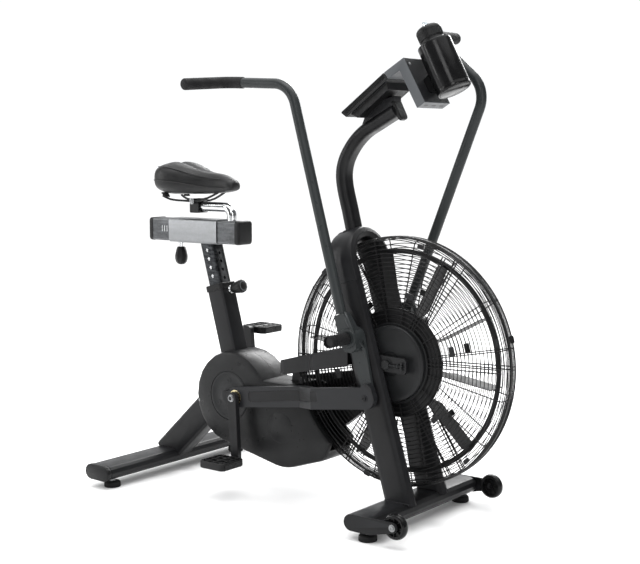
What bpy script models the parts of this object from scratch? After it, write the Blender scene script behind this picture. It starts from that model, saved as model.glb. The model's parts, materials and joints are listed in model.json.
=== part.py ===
"""An air bike: a fan-loaded exercise bike with pedals and two swinging arms.

The frame is in metres. +X is the front (the fan), +Y the rider's left, +Z up, and
Z = 0 is the floor that the four feet stand on. Each sub-part is one object, and a
moving sub-part has its origin on its joint's axis.
"""

import math

import bmesh
import bpy
from mathutils import Matrix, Vector

# ---- driving dimensions, metres -------------------------------------------------

CRANK = Vector((-0.274, 0.0, 0.268))       # crank spindle
IDLER = Vector((-0.082, 0.0, 0.194))       # intermediate shaft
FAN = Vector((0.289, 0.0, 0.423))          # fan axle
PIVOT = Vector((0.212, 0.0, 0.493))        # arm pivots, on the outside of the fork

GAP = 0.0003                               # between touching pieces

# Stabiliser tubes: flat ovals along Y, on four feet
OVAL_LENGTH = 0.095
OVAL_HEIGHT = 0.043
OVAL_Z = 0.0465
REAR_X = -0.561
REAR_HALF = 0.300
REAR_CAP = 0.018
FRONT_X = 0.330
FRONT_HALF = 0.2452
PLATE_THICKNESS = 0.005
FOOT_RADIUS = 0.0245
REAR_FOOT = (-0.545, 0.270)
FRONT_FOOT = (0.338, 0.222)
WHEEL = Vector((0.431, 0.2335, 0.056))
WHEEL_RADIUS = 0.0334
WHEEL_WIDTH = 0.022

# Fork: two flat-oval legs leaning back, joined by an arch
LEAN = math.atan(0.3065)
FORK_BASE = Vector((0.337, 0.0, 0.070))
FORK_UP = Vector((-math.sin(LEAN), 0.0, math.cos(LEAN)))
FORK_FRONT = Vector((math.cos(LEAN), 0.0, math.sin(LEAN)))
LEG_Y = 0.076
LEG_WIDTH = 0.036
LEG_DEPTH = 0.088
LEG_TOP = 0.585
ARCH_CENTRE = 0.635

# Belt cover
COVER_HALF = 0.060
COVER_WALL = 0.0025
COVER_LIP_RADIUS = 0.310
GUARD_CLEARANCE = 0.3375
LIP_Y = 0.0465

# Drive
CRANK_PULLEY_RADIUS = 0.095
SMALL_PULLEY_RADIUS = 0.030
LARGE_PULLEY_RADIUS = 0.070
FAN_PULLEY_RADIUS = 0.027
BELT = 0.0032
RIGHT_BELT_Y = (-0.038, -0.026)
LEFT_BELT_Y = (0.041, 0.051)
PIN_OFFSET = Vector((0.052, 0.0, 0.0075))  # crank pin from the spindle, right side at rest
ARM_TILT = math.radians(3.9)
ARM_LENGTH = 0.175
SPINDLE_RADIUS = 0.011
PIN_RADIUS = 0.009

# Fan and guard
GUARD_RADIUS = 0.333
GUARD_RIGHT_Y = (-0.044, -0.0053)
GUARD_LEFT_Y = (-0.0047, 0.033)
BLADES = 10
BLADE_RADIUS = 0.290
DRUM_RADIUS = 0.145
AXLE_RADIUS = 0.0085

# Arms, in their upright position relative to the pivot
ARM_Y = 0.128
ARM_SWING = math.radians(18.86)
SEAM = Vector((-0.008, 0.0, 0.066))
ELBOW = Vector((0.0256, 0.0, 0.687))
CORNER = Vector((-0.179, 0.0, 0.768))
GRIP_END = Vector((-0.201, 0.151, 0.765))
LINK_END = Vector((-0.0085, 0.0, -0.1618))
ARM_RADIUS = 0.0138
GRIP_RADIUS = 0.0158
PEG_RADIUS = 0.016

# Seat
POST_LEAN = math.radians(15.6)
POST_UP = Vector((-math.sin(POST_LEAN), 0.0, math.cos(POST_LEAN)))
POST_FRONT = Vector((math.cos(POST_LEAN), 0.0, math.sin(POST_LEAN)))
COLLAR = Vector((-0.359, 0.0, 0.580))      # seat tube's top, on its centre line
TUBE_SIDE = 0.060
POST_SIZE = (0.046, 0.050)
RAIL_X = (-0.606, -0.275)
RAIL_Z = (0.705, 0.771)
RAIL_HALF = 0.030
SLEEVE_X = (-0.536, -0.344)
SLEEVE_WALL = 0.003
SEAT_STEM_X = -0.312
SEAT_BAR_Z = 0.810
STEM_RADIUS = 0.0145

# Console, on a slope of its own
CONSOLE_UP = Vector((0.81, 0.0, 0.5864))
CONSOLE_FACE = Vector((-0.5864, 0.0, 0.81))
CONSOLE_LOW = Vector((0.128, 0.0, 1.076))
CONSOLE_LENGTH = 0.170
CONSOLE_DEPTH = 0.021
CONSOLE_HALF = 0.060
BOTTLE_LOW = Vector((0.442, 0.0, 1.127))
BOTTLE_UP = Vector((-0.468, 0.0, 0.884)).normalized()
HOLDER_RADIUS = 0.045
HOLDER_LENGTH = 0.135

FINISHES = {
    "powder": ((0.018, 0.018, 0.019), 0.42, 0.0),
    "plastic": ((0.022, 0.023, 0.024), 0.38, 0.0),
    "gloss": ((0.012, 0.012, 0.013), 0.15, 0.0),
    "rubber": ((0.016, 0.016, 0.016), 0.75, 0.0),
    "arm_paint": ((0.045, 0.050, 0.050), 0.40, 0.0),
    "chrome": ((0.62, 0.63, 0.64), 0.16, 1.0),
    "zinc": ((0.42, 0.43, 0.44), 0.30, 1.0),
    "brass": ((0.62, 0.50, 0.26), 0.25, 1.0),
    "grey_metal": ((0.20, 0.21, 0.22), 0.35, 0.6),
    "vinyl": ((0.020, 0.021, 0.022), 0.50, 0.0),
    "lens": ((0.030, 0.035, 0.036), 0.10, 0.0),
}


# ---- outlines and mesh helpers --------------------------------------------------

def arc(centre, radius, start, end, steps):
    """Points on a circle, from one angle in degrees to another."""
    points = []
    for i in range(steps + 1):
        angle = math.radians(start + (end - start) * i / steps)
        points.append((centre[0] + radius * math.cos(angle), centre[1] + radius * math.sin(angle)))
    return points


def circle(centre, radius, steps=24):
    return arc(centre, radius, 0, 360, steps)[:-1]


def stadium(length, width, steps=6, centre=(0.0, 0.0)):
    """A flat oval: two half circles joined by straight sides, long along the first axis."""
    radius = width / 2
    reach = length / 2 - radius
    right = arc((centre[0] + reach, centre[1]), radius, -90, 90, steps)
    left = arc((centre[0] - reach, centre[1]), radius, 90, 270, steps)
    return right + left


def rounded(corners, radius, steps=3):
    """The corners of an outline, each replaced by an arc of the given radius."""
    points = []
    count = len(corners)
    for i in range(count):
        before = Vector(corners[i - 1])
        here = Vector(corners[i])
        after = Vector(corners[(i + 1) % count])
        points += fillet(before, here, after, radius, steps)
    return [(p[0], p[1]) for p in points]


def fillet(before, here, after, radius, steps):
    """Points of the arc that rounds one corner, in two or three dimensions."""
    back = (before - here).normalized()
    ahead = (after - here).normalized()
    half = back.angle(ahead) / 2
    if half > math.radians(89.5):
        return [here]
    reach = min(radius / math.tan(half), 0.45 * (before - here).length, 0.45 * (after - here).length)
    used = reach * math.tan(half)
    centre = here + (back + ahead).normalized() * (used / math.sin(half))
    start = here + back * reach - centre
    end = here + ahead * reach - centre
    points = []
    for i in range(steps + 1):
        t = i / steps
        mixed = start * (1 - t) + end * t
        points.append(centre + mixed.normalized() * used)
    return points


def bent(points, radius, steps=5):
    """A route with its inner corners rounded."""
    route = [Vector(points[0])]
    for i in range(1, len(points) - 1):
        route += fillet(Vector(points[i - 1]), Vector(points[i]), Vector(points[i + 1]), radius, steps)
    route.append(Vector(points[-1]))
    return route


def smooth(points, steps=4):
    """A Catmull-Rom curve through the points."""
    points = [Vector(p) for p in points]
    padded = [2 * points[0] - points[1]] + points + [2 * points[-1] - points[-2]]
    route = []
    for a, b, c, d in zip(padded, padded[1:], padded[2:], padded[3:]):
        for i in range(steps):
            t = i / steps
            route.append(0.5 * (2 * b + (c - a) * t + (2 * a - 5 * b + 4 * c - d) * t * t
                                + (3 * b - a - 3 * c + d) * t ** 3))
    route.append(points[-1])
    return route


def hull(*circles, steps=20):
    """The outline of a belt round the given (x, z, radius) circles."""
    points = []
    for x, z, radius in circles:
        points += circle((x, z), radius, steps)
    points = sorted(set(points))
    lower = half_hull(points)
    upper = half_hull(points[::-1])
    return lower[:-1] + upper[:-1]


def half_hull(points):
    kept = []
    for p in points:
        while len(kept) > 1 and turn(kept[-2], kept[-1], p) <= 1e-10:
            kept.pop()
        kept.append(p)
    return kept


def turn(a, b, c):
    return (b[0] - a[0]) * (c[1] - a[1]) - (b[1] - a[1]) * (c[0] - a[0])


def offset(outline, distance):
    """The outline moved inwards by a distance; it must run anticlockwise."""
    moved = []
    count = len(outline)
    for i in range(count):
        before = Vector(outline[i - 1])
        here = Vector(outline[i])
        after = Vector(outline[(i + 1) % count])
        along_in = (here - before).normalized()
        along_out = (after - here).normalized()
        normal = Vector((-along_in.y - along_out.y, along_in.x + along_out.x)).normalized()
        share = max(0.5, normal.dot(Vector((-along_in.y, along_in.x))))
        moved.append(tuple(here + normal * (distance / share)))
    return moved


def to_object(bm, name="shape"):
    """A new scene object from a closed bmesh, its faces turned outwards."""
    bmesh.ops.remove_doubles(bm, verts=bm.verts, dist=1e-6)
    bmesh.ops.recalc_face_normals(bm, faces=bm.faces)
    mesh = bpy.data.meshes.new(name)
    bm.to_mesh(mesh)
    bm.free()
    obj = bpy.data.objects.new(name, mesh)
    bpy.context.scene.collection.objects.link(obj)
    return obj


def skin(rings, closed=False):
    """A solid from rings of points that have the same count, capped unless the last meets the first."""
    bm = bmesh.new()
    loops = [[bm.verts.new(p) for p in ring] for ring in rings]
    pairs = list(zip(loops, loops[1:]))
    if closed:
        pairs.append((loops[-1], loops[0]))
    for one, two in pairs:
        for i in range(len(one)):
            j = (i + 1) % len(one)
            bm.faces.new((one[i], one[j], two[j], two[i]))
    if not closed:
        bm.faces.new(loops[0])
        bm.faces.new(loops[-1])
    return to_object(bm)


def prism(outline, low, high, axis="Y"):
    """An outline drawn in XZ, XY or YZ and extruded along the axis left over."""
    place = {
        "Y": lambda u, v, t: (u, t, v),
        "Z": lambda u, v, t: (u, v, t),
        "X": lambda u, v, t: (t, u, v),
    }[axis]
    low, high = sorted((low, high))
    return skin([[place(u, v, t) for u, v in outline] for t in (low, high)])


def box(low, high):
    corners = [(low[0], low[1]), (high[0], low[1]), (high[0], high[1]), (low[0], high[1])]
    return prism(corners, low[2], high[2], "Z")


def sweep(route, section, side=Vector((0.0, 1.0, 0.0))):
    """A section carried along a route. Its first axis starts along side."""
    route = [Vector(p) for p in route]
    rings = []
    across = side
    for i, point in enumerate(route):
        ahead = route[min(i + 1, len(route) - 1)] - point
        behind = point - route[max(i - 1, 0)]
        tangent = (ahead.normalized() + behind.normalized()).normalized()
        across = (across - tangent * across.dot(tangent)).normalized()
        other = tangent.cross(across)
        rings.append([point + across * a + other * b for a, b in section])
    return skin(rings)


def rod(start, end, radius, sides=20):
    start = Vector(start)
    end = Vector(end)
    along = (end - start).normalized()
    side = Vector((0.0, 1.0, 0.0)) if abs(along.y) < 0.9 else Vector((0.0, 0.0, 1.0))
    return sweep([start, end], circle((0.0, 0.0), radius, sides), side)


def turned(profile, centre, axis=(0.0, 1.0, 0.0), sides=32):
    """A profile of (radius, distance along the axis) points turned about an axis through centre."""
    along = Vector(axis).normalized()
    first = Vector((1.0, 0.0, 0.0)) if abs(along.x) < 0.9 else Vector((0.0, 0.0, 1.0))
    first = (first - along * first.dot(along)).normalized()
    second = along.cross(first)
    bm = bmesh.new()
    columns = []
    on_axis = {}
    for k in range(sides):
        angle = 2 * math.pi * k / sides
        out = first * math.cos(angle) + second * math.sin(angle)
        column = []
        for i, (radius, distance) in enumerate(profile):
            if radius == 0.0 and i in on_axis:
                column.append(on_axis[i])
                continue
            vert = bm.verts.new(Vector(centre) + along * distance + out * radius)
            if radius == 0.0:
                on_axis[i] = vert
            column.append(vert)
        columns.append(column)
    for k in range(sides):
        one = columns[k]
        two = columns[(k + 1) % sides]
        for i in range(len(profile)):
            j = (i + 1) % len(profile)
            corners = list(dict.fromkeys((one[i], one[j], two[j], two[i])))
            if len(corners) > 2 and not (profile[i][0] == 0.0 and profile[j][0] == 0.0):
                bm.faces.new(corners)
    return to_object(bm)


def ring(centre, inner, outer, low, high, sides=40):
    """A flat ring about an axis along Y."""
    low, high = sorted((low, high))
    return turned([(inner, low), (outer, low), (outer, high), (inner, high)], centre, sides=sides)


def at(point, y):
    """The same point at another Y."""
    return Vector((point[0], y, point[2]))


def combine(base, tools, operation):
    """Join tools to the base, or cut them from it, and remove them."""
    for tool in tools:
        modifier = base.modifiers.new(operation.title(), "BOOLEAN")
        modifier.operation = operation
        modifier.object = tool
    graph = bpy.context.evaluated_depsgraph_get()
    base.data = bpy.data.meshes.new_from_object(base.evaluated_get(graph))
    base.modifiers.clear()
    for tool in tools:
        bpy.data.objects.remove(tool)
    return base


def join(base, *tools):
    return combine(base, tools, "UNION")


def cut(base, *tools):
    return combine(base, tools, "DIFFERENCE")


def material(name, finish):
    color, roughness, metallic = FINISHES[finish]
    made = bpy.data.materials.new(name)
    made.use_nodes = True
    shader = made.node_tree.nodes["Principled BSDF"]
    shader.inputs["Base Color"].default_value = (*color, 1.0)
    shader.inputs["Roughness"].default_value = roughness
    shader.inputs["Metallic"].default_value = metallic
    return made


def node(obj, name, finish, origin=(0.0, 0.0, 0.0)):
    """Name a finished sub-part, give it its material and put its origin on its axis."""
    obj.name = name
    obj.data.name = name
    obj.data.materials.clear()
    obj.data.materials.append(material(name, finish))
    obj.data.transform(Matrix.Translation(-Vector(origin)))
    obj.location = Vector(origin)
    obj.data.shade_smooth()
    obj.data.set_sharp_from_angle(angle=math.radians(35))
    return obj


def sides():
    """Each side's name and its direction along Y."""
    return (("right", -1.0), ("left", 1.0))



# ---- base and frame --------------------------------------------------------------

def oval_tube(x, low, high, extra=0.0):
    outline = stadium(OVAL_LENGTH + 2 * extra, OVAL_HEIGHT + 2 * extra, centre=(x, OVAL_Z))
    return prism(outline, low, high)


def make_rear_base():
    node(oval_tube(REAR_X, -REAR_HALF, REAR_HALF), "rear_stabilizer", "powder")
    for name, side in sides():
        cap = oval_tube(REAR_X, side * (REAR_HALF + GAP), side * (REAR_HALF + REAR_CAP), 0.0015)
        modifier = cap.modifiers.new("Bevel", "BEVEL")
        modifier.width = 0.004
        modifier.segments = 2
        modifier.limit_method = "ANGLE"
        modifier.angle_limit = math.radians(60)
        node(cap, "rear_cap_" + name, "plastic")
        make_foot("foot_rear_" + name, REAR_FOOT[0], side * REAR_FOOT[1])


def make_foot(name, x, y):
    """A rubber foot under a stabiliser, on the floor."""
    top = OVAL_Z - OVAL_HEIGHT / 2 - GAP
    profile = [(0.0, 0.0), (FOOT_RADIUS, 0.0), (FOOT_RADIUS, 0.011), (FOOT_RADIUS - 0.002, 0.013),
               (FOOT_RADIUS - 0.003, top), (0.0, top)]
    node(turned(profile, (x, y, 0.0), (0, 0, 1), 16), name, "rubber")


def make_front_base():
    """The front stabiliser with its two welded end plates, which carry the wheels."""
    tube = oval_tube(FRONT_X, -FRONT_HALF - 0.001, FRONT_HALF + 0.001)
    nose = 0.0135
    plates = []
    outline = hull((FRONT_X - 0.026, OVAL_Z, OVAL_HEIGHT / 2), (FRONT_X + 0.030, OVAL_Z, OVAL_HEIGHT / 2),
                   (WHEEL.x, WHEEL.z, nose))
    for _, side in sides():
        outer = side * (FRONT_HALF + PLATE_THICKNESS)
        plates.append(prism(outline, side * FRONT_HALF, outer))
        plates.append(rod(at(WHEEL, side * (WHEEL.y - 0.0155)), at(WHEEL, outer + side * 0.003), 0.004, 12))
    node(join(tube, *plates), "front_stabilizer", "powder")
    for name, side in sides():
        make_foot("foot_front_" + name, FRONT_FOOT[0], side * FRONT_FOOT[1])
        make_wheel(name, side)


def make_wheel(name, side):
    half = WHEEL_WIDTH / 2
    profile = [(0.0045, -half * 0.6), (0.021, -half), (WHEEL_RADIUS - 0.005, -half), (WHEEL_RADIUS, -half * 0.35),
               (WHEEL_RADIUS, half * 0.35), (WHEEL_RADIUS - 0.005, half), (0.021, half), (0.0045, half * 0.6)]
    centre = at(WHEEL, side * WHEEL.y)
    node(turned(profile, centre, sides=16), "wheel_" + name, "gloss", centre)


def fork_point(along, y=0.0, forward=0.0):
    return FORK_BASE + FORK_UP * along + FORK_FRONT * forward + Vector((0.0, y, 0.0))


def leg_section():
    """The leg's flat oval: its first axis runs along Y, its second along the depth."""
    return [(b, a) for a, b in stadium(LEG_DEPTH, LEG_WIDTH, 4)]


def make_fork():
    for name, side in sides():
        y = side * LEG_Y
        leg = sweep([fork_point(-0.02, y), fork_point(LEG_TOP, y)], leg_section())
        cut(leg, oval_tube(FRONT_X, -0.2, 0.2, GAP), box((0.2, -0.2, 0.0), (0.45, 0.2, OVAL_Z + 0.012)))
        join(leg, axle_plate(side), pivot_stub(side))
        cut(leg, rod(at(FAN, side * 0.06), at(FAN, side * 0.08), AXLE_RADIUS + 0.0005, 20))
        node(leg, "fork_leg_" + name, "powder")
    arch = [fork_point(LEG_TOP + GAP, -LEG_Y)]
    for angle in range(180, -1, -15):
        turn_at = math.radians(angle)
        arch.append(fork_point(ARCH_CENTRE + LEG_Y * math.sin(turn_at), LEG_Y * math.cos(turn_at)))
    arch.append(fork_point(LEG_TOP + GAP, LEG_Y))
    crown = sweep(arch, leg_section())
    cut(crown, rod(at(FAN, -0.0455), at(FAN, 0.0455), GUARD_RADIUS + 0.0020, 40))
    node(crown, "fork_crown", "powder")


def axle_plate(side):
    """The plate that stands forward of the leg and holds the fan axle."""
    outline = [(0.235, 0.407), (0.345, 0.402), (0.350, 0.409), (0.350, 0.437), (0.344, 0.444), (0.235, 0.447)]
    return prism(outline, side * 0.0655, side * 0.0735)


def pivot_stub(side):
    """The shaft that an arm turns on, with its boss on the leg's outer face."""
    boss = 0.0965 - GAP
    outer = 0.2185
    profile = [(0.0, 0.090), (0.028, 0.090), (0.028, boss), (0.0120, boss), (0.0120, outer), (0.0, outer)]
    return turned(profile, PIVOT, (0, side, 0), 16)


def make_main_frame():
    """One weldment: rear strut, seat tube, spindle shell, spine and the yoke's bracket."""
    strut = sweep([(-0.575, 0.0, 0.047), (-0.384, 0.0, 0.2255)], rectangle(0.060, 0.086, 0.014))
    cut(strut, oval_tube(REAR_X, -0.1, 0.1, GAP), box((-0.70, -0.1, 0.0), (-0.45, 0.1, OVAL_Z)))
    low = COLLAR - POST_UP * 0.208
    seat_tube = sweep([low, COLLAR], rectangle(TUBE_SIDE, TUBE_SIDE, 0.007))
    knob_hole = COLLAR - POST_UP * 0.020
    cut(seat_tube, rod(knob_hole, knob_hole + POST_FRONT * 0.06, 0.0060, 16))
    bracket_at = (-0.060, 0.372)
    spine = [
        prism(hull((CRANK.x, CRANK.z, 0.022), (-0.372, 0.232, 0.022), steps=10), -0.010, 0.010),
        prism(hull((CRANK.x, CRANK.z, 0.022), (low.x, low.z + 0.012, 0.018), steps=10), -0.010, 0.010),
        prism(hull((CRANK.x, CRANK.z, 0.022), (IDLER.x, IDLER.z, 0.018), steps=10), -0.010, 0.010),
        prism(hull((IDLER.x, IDLER.z, 0.018), (*bracket_at, 0.014), steps=10), -0.010, 0.010),
        rod(at(CRANK, -0.019), at(CRANK, 0.019), 0.024, 24),
        rod(at(IDLER, -0.018), at(IDLER, 0.018), 0.018, 24),
        box((-0.079, -0.040, 0.357), (-0.046, 0.040, 0.389)),
    ]
    frame = join(strut, seat_tube, *spine)
    cut(frame, sweep([low + POST_UP * 0.020, COLLAR + POST_UP * 0.01],
                     rectangle(POST_SIZE[1] + 0.001, POST_SIZE[0] + 0.001, 0.006)))
    cut(frame, rod(at(CRANK, -0.05), at(CRANK, 0.05), SPINDLE_RADIUS + 0.0005, 20),
        rod(at(IDLER, -0.05), at(IDLER, 0.05), 0.0085, 20))
    node(frame, "main_frame", "powder")


def rectangle(width, height, radius):
    """A rounded rectangle about the origin."""
    w = width / 2
    h = height / 2
    return rounded([(-w, -h), (w, -h), (w, h), (-w, h)], radius)


def make_yoke():
    """The beams that run forward from the main frame, past the guard, to the fork legs."""
    for name, side in sides():
        inner = 0.0403
        plan = [(-0.079, inner), (-0.050, inner), (-0.0475, 0.0460), (0.030, 0.0480), (0.055, 0.070), (0.1785, 0.070),
                (0.1785, 0.095), (0.060, 0.095), (0.032, 0.0725), (-0.060, 0.0725), (-0.079, 0.062)]
        slab = prism([(x, side * y) for x, y in plan][::int(side)], 0.30, 0.50, "Z")
        profile = [(-0.079, 0.357), (-0.043, 0.360), (0.1785, 0.412), (0.1785, 0.461), (-0.040, 0.405), (-0.079, 0.394)]
        beam = prism(profile, -0.15, 0.15)
        combine(beam, [slab], "INTERSECT")
        cut(beam, sweep([fork_point(0.2, side * LEG_Y), fork_point(0.6, side * LEG_Y)],
                        [(a * 1.02, b * 1.01) for a, b in leg_section()]))
        node(beam, "yoke_beam_" + name, "powder")


def make_mast():
    route = smooth([(0.136, 0.0, 0.740), (0.118, 0.0, 0.811), (0.098, 0.0, 0.890), (0.101, 0.0, 0.940),
                    (0.125, 0.0, 0.985), (0.163, 0.0, 1.023), (0.215, 0.0, 1.052), (0.268, 0.0, 1.080)], 2)
    mast = sweep(route, [(b, a) for a, b in stadium(0.060, 0.038, 4)])
    flange = sweep([fork_point(0.700, 0.0, -0.005), fork_point(0.7345, 0.0, -0.005)],
                   rectangle(0.056, 0.084, 0.010))
    wedge = prism([(0.150, 1.005), (0.245, 1.050), (0.272, 1.128), (0.245, 1.128), (0.170, 1.0735)], -0.018, 0.018)
    under = console_frame(0.0, -CONSOLE_DEPTH - 0.018 - GAP)
    above = console_frame(0.25, -CONSOLE_DEPTH - 0.018 - GAP)
    keep_out = prism([under, above, (above[0], 1.3), (under[0], 1.3)], -0.05, 0.05)
    join(mast, flange, wedge)
    cut(mast, keep_out, sweep([fork_point(ARCH_CENTRE, 0.0, -0.1), fork_point(ARCH_CENTRE, 0.0, 0.1)],
                              circle((0.0, 0.0), LEG_Y + LEG_WIDTH / 2 + 0.0010, 32)),
        box((0.2685, -0.1, 0.9), (0.4, 0.1, 1.2)))
    cap = prism(rounded([(0.267, 1.047), (0.289, 1.047), (0.289, 1.107), (0.267, 1.107)], 0.003), -0.021, 0.021)
    node(join(mast, cap), "mast", "powder")


def console_frame(along, out):
    """(x, z) of a point on the console's slope."""
    point = CONSOLE_LOW + CONSOLE_UP * along + CONSOLE_FACE * out
    return (point.x, point.z)


def make_console():
    """Display housing, its panel, and the folded bracket that carries the bottle holder."""
    housing = prism(rounded([console_frame(0.0, 0.0), console_frame(0.008, -CONSOLE_DEPTH),
                             console_frame(CONSOLE_LENGTH, -CONSOLE_DEPTH), console_frame(CONSOLE_LENGTH, 0.0)], 0.003),
                    -CONSOLE_HALF, CONSOLE_HALF)
    back = prism([console_frame(0.020, -CONSOLE_DEPTH + 0.002), console_frame(0.030, -CONSOLE_DEPTH - 0.018),
                  console_frame(0.150, -CONSOLE_DEPTH - 0.018), console_frame(0.160, -CONSOLE_DEPTH + 0.002)],
                 -0.050, 0.050)
    recess = prism([console_frame(0.012, -0.002), console_frame(0.158, -0.002),
                    console_frame(0.158, 0.010), console_frame(0.012, 0.010)], -0.050, 0.050)
    housing = cut(join(housing, back), recess)
    node(housing, "console_housing", "plastic")
    panel = prism([console_frame(0.0125, -0.0017), console_frame(0.1575, -0.0017),
                   console_frame(0.1575, -0.0002), console_frame(0.0125, -0.0002)], -0.0495, 0.0495)
    node(panel, "display_panel", "lens")
    start = console_frame(CONSOLE_LENGTH + 0.0005, 0.0)
    start_low = console_frame(CONSOLE_LENGTH + 0.0005, -CONSOLE_DEPTH)
    outline = [start, (0.326, 1.2115), (0.3915, 1.098), (0.368, 1.084), (0.3140, 1.1790), start_low]
    bracket = prism(outline[::-1], -CONSOLE_HALF, CONSOLE_HALF)
    node(bracket, "console_bracket", "grey_metal")


def make_bottle():
    """The open cup, its tab to the bracket, and the bottle that lifts out along its axis."""
    wall = 0.003
    profile = [(0.0, 0.0), (HOLDER_RADIUS - 0.003, 0.0), (HOLDER_RADIUS, 0.003), (HOLDER_RADIUS, HOLDER_LENGTH),
               (HOLDER_RADIUS - wall, HOLDER_LENGTH), (HOLDER_RADIUS - wall, wall), (0.0, wall)]
    cup = turned(profile, BOTTLE_LOW, BOTTLE_UP, 24)
    tab = prism([(0.352, 1.1668), (0.378, 1.1218), (0.402, 1.136), (0.376, 1.180)], -0.020, 0.020)
    cut(tab, rod(BOTTLE_LOW - BOTTLE_UP * 0.05, BOTTLE_LOW + BOTTLE_UP * 0.2, HOLDER_RADIUS - 0.0015, 24),
        prism([(0.3269, 1.2120), (0.3924, 1.0985), (0.300, 1.05), (0.26, 1.15)], -0.05, 0.05))
    node(join(cup, tab), "bottle_holder", "gloss")
    body = [(0.0, wall + GAP), (0.036, wall + GAP), (0.036, 0.125), (0.031, 0.138), (0.031, 0.147), (0.0, 0.147)]
    node(turned(body, BOTTLE_LOW, BOTTLE_UP, 16), "water_bottle", "plastic")
    top = 0.147 + GAP
    cap = [(0.0, top), (0.0325, top), (0.0335, top + 0.002), (0.0335, top + 0.027), (0.029, top + 0.034),
           (0.0085, top + 0.036), (0.0085, top + 0.048), (0.006, top + 0.052), (0.0, top + 0.052)]
    node(turned(cap, BOTTLE_LOW, BOTTLE_UP, 16), "bottle_cap", "gloss")


# ---- belt cover and drive --------------------------------------------------------

def cover_outline():
    """Side outline of the belt cover, anticlockwise: crank disc, lower lobe, and the lip round the fan."""
    top = 0.328
    disc = arc((-0.267, 0.262), 0.136, 29, 257, 15)
    lobe = arc((-0.080, 0.219), 0.133, 261, 288, 4)
    lip = arc((FAN.x, FAN.z), COVER_LIP_RADIUS, 231, 199.5, 6)
    toe = fillet(Vector(lobe[-1]), Vector((0.072, 0.1285)), Vector(lip[0]), 0.034, 4)
    return disc + lobe + [tuple(p) for p in toe] + lip + [(-0.013, top)]


def dished(outline, side, low, high, radius):
    """An outline extruded along Y whose outer edge is rounded."""
    rings = [(outline, low)]
    steps = 2
    for k in range(steps + 1):
        angle = math.radians(90 * k / steps)
        inset = radius * (1 - math.cos(angle))
        rings.append((offset(outline, inset) if inset else outline, high - radius * (1 - math.sin(angle))))
    return skin([[(x, side * y, z) for x, z in points] for points, y in rings])


def make_belt_covers():
    outline = cover_outline()
    inner = offset(outline, COVER_WALL)
    low = COLLAR - POST_UP * 0.208
    for name, side in sides():
        shell = dished(outline, side, GAP, COVER_HALF, 0.010)
        hollow = dished(inner, side, -0.005, COVER_HALF - COVER_WALL, 0.008)
        crank_hole = rod(at(CRANK, side * 0.045), at(CRANK, side * 0.07), 0.0722, 28)
        for_guard = rod(at(FAN, -LIP_Y), at(FAN, LIP_Y), GUARD_CLEARANCE, 64)
        for_strut = sweep([(-0.575, 0.0, 0.047), (-0.360, 0.0, 0.248)], rectangle(0.062, 0.088, 0.015))
        for_seat_tube = sweep([low - POST_UP * 0.01, COLLAR], rectangle(0.062, 0.062, 0.008))
        for_bracket = box((-0.0850, -0.0115, 0.30), (-0.0460, 0.0115, 0.34))
        tools = [hollow, crank_hole, for_guard, for_strut, for_seat_tube, for_bracket]
        if side > 0:
            tools.append(prism(belt_corridor(0.0015), 0.0340, COVER_HALF - COVER_WALL))
        node(cut(shell, *tools), "belt_cover_" + name, "plastic")
        disc = ring(at(CRANK, 0.0), 0.019, 0.0711, side * 0.0565, side * COVER_HALF, 20)
        holes = []
        for angle in (90, 180):
            turn_at = math.radians(angle)
            centre = CRANK + Vector((math.cos(turn_at), 0.0, math.sin(turn_at))) * 0.038
            holes.append(rod(at(centre, side * 0.05), at(centre, side * 0.07), 0.0038, 8))
        node(cut(disc, *holes), "crank_cover_" + name, "plastic")


def belt_corridor(extra):
    """Side outline of the room that the fan belt needs, with its cover's walls."""
    return hull((IDLER.x, IDLER.z, LARGE_PULLEY_RADIUS + 0.0085 + extra),
                (FAN.x, FAN.z, FAN_PULLEY_RADIUS + 0.0115 + extra), steps=32)


def make_fan_belt_cover():
    """A slim case on the left, from the belt cover's lip to the fan axle, open at its rear."""
    case = prism(belt_corridor(0.0), 0.0345, 0.0575)
    limit = rod(at(FAN, 0.0), at(FAN, 0.1), COVER_LIP_RADIUS - 0.0015, 64)
    combine(case, [limit], "INTERSECT")
    cut(case, prism(belt_corridor(-0.0015), 0.0360, 0.0560),
        rod(at(FAN, 0.03), at(FAN, 0.045), 0.0185, 24), rod(at(FAN, 0.05), at(FAN, 0.07), 0.0100, 20))
    node(case, "fan_belt_cover", "plastic")


def belt(name, first, first_radius, second, second_radius, width):
    low, high = width
    inside = 0.0014
    outer = hull((first.x, first.z, first_radius + BELT), (second.x, second.z, second_radius + BELT), steps=22)
    inner = hull((first.x, first.z, first_radius + inside), (second.x, second.z, second_radius + inside), steps=22)
    node(cut(prism(outer, low, high), prism(inner, low - 0.01, high + 0.01)), name, "rubber")


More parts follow.
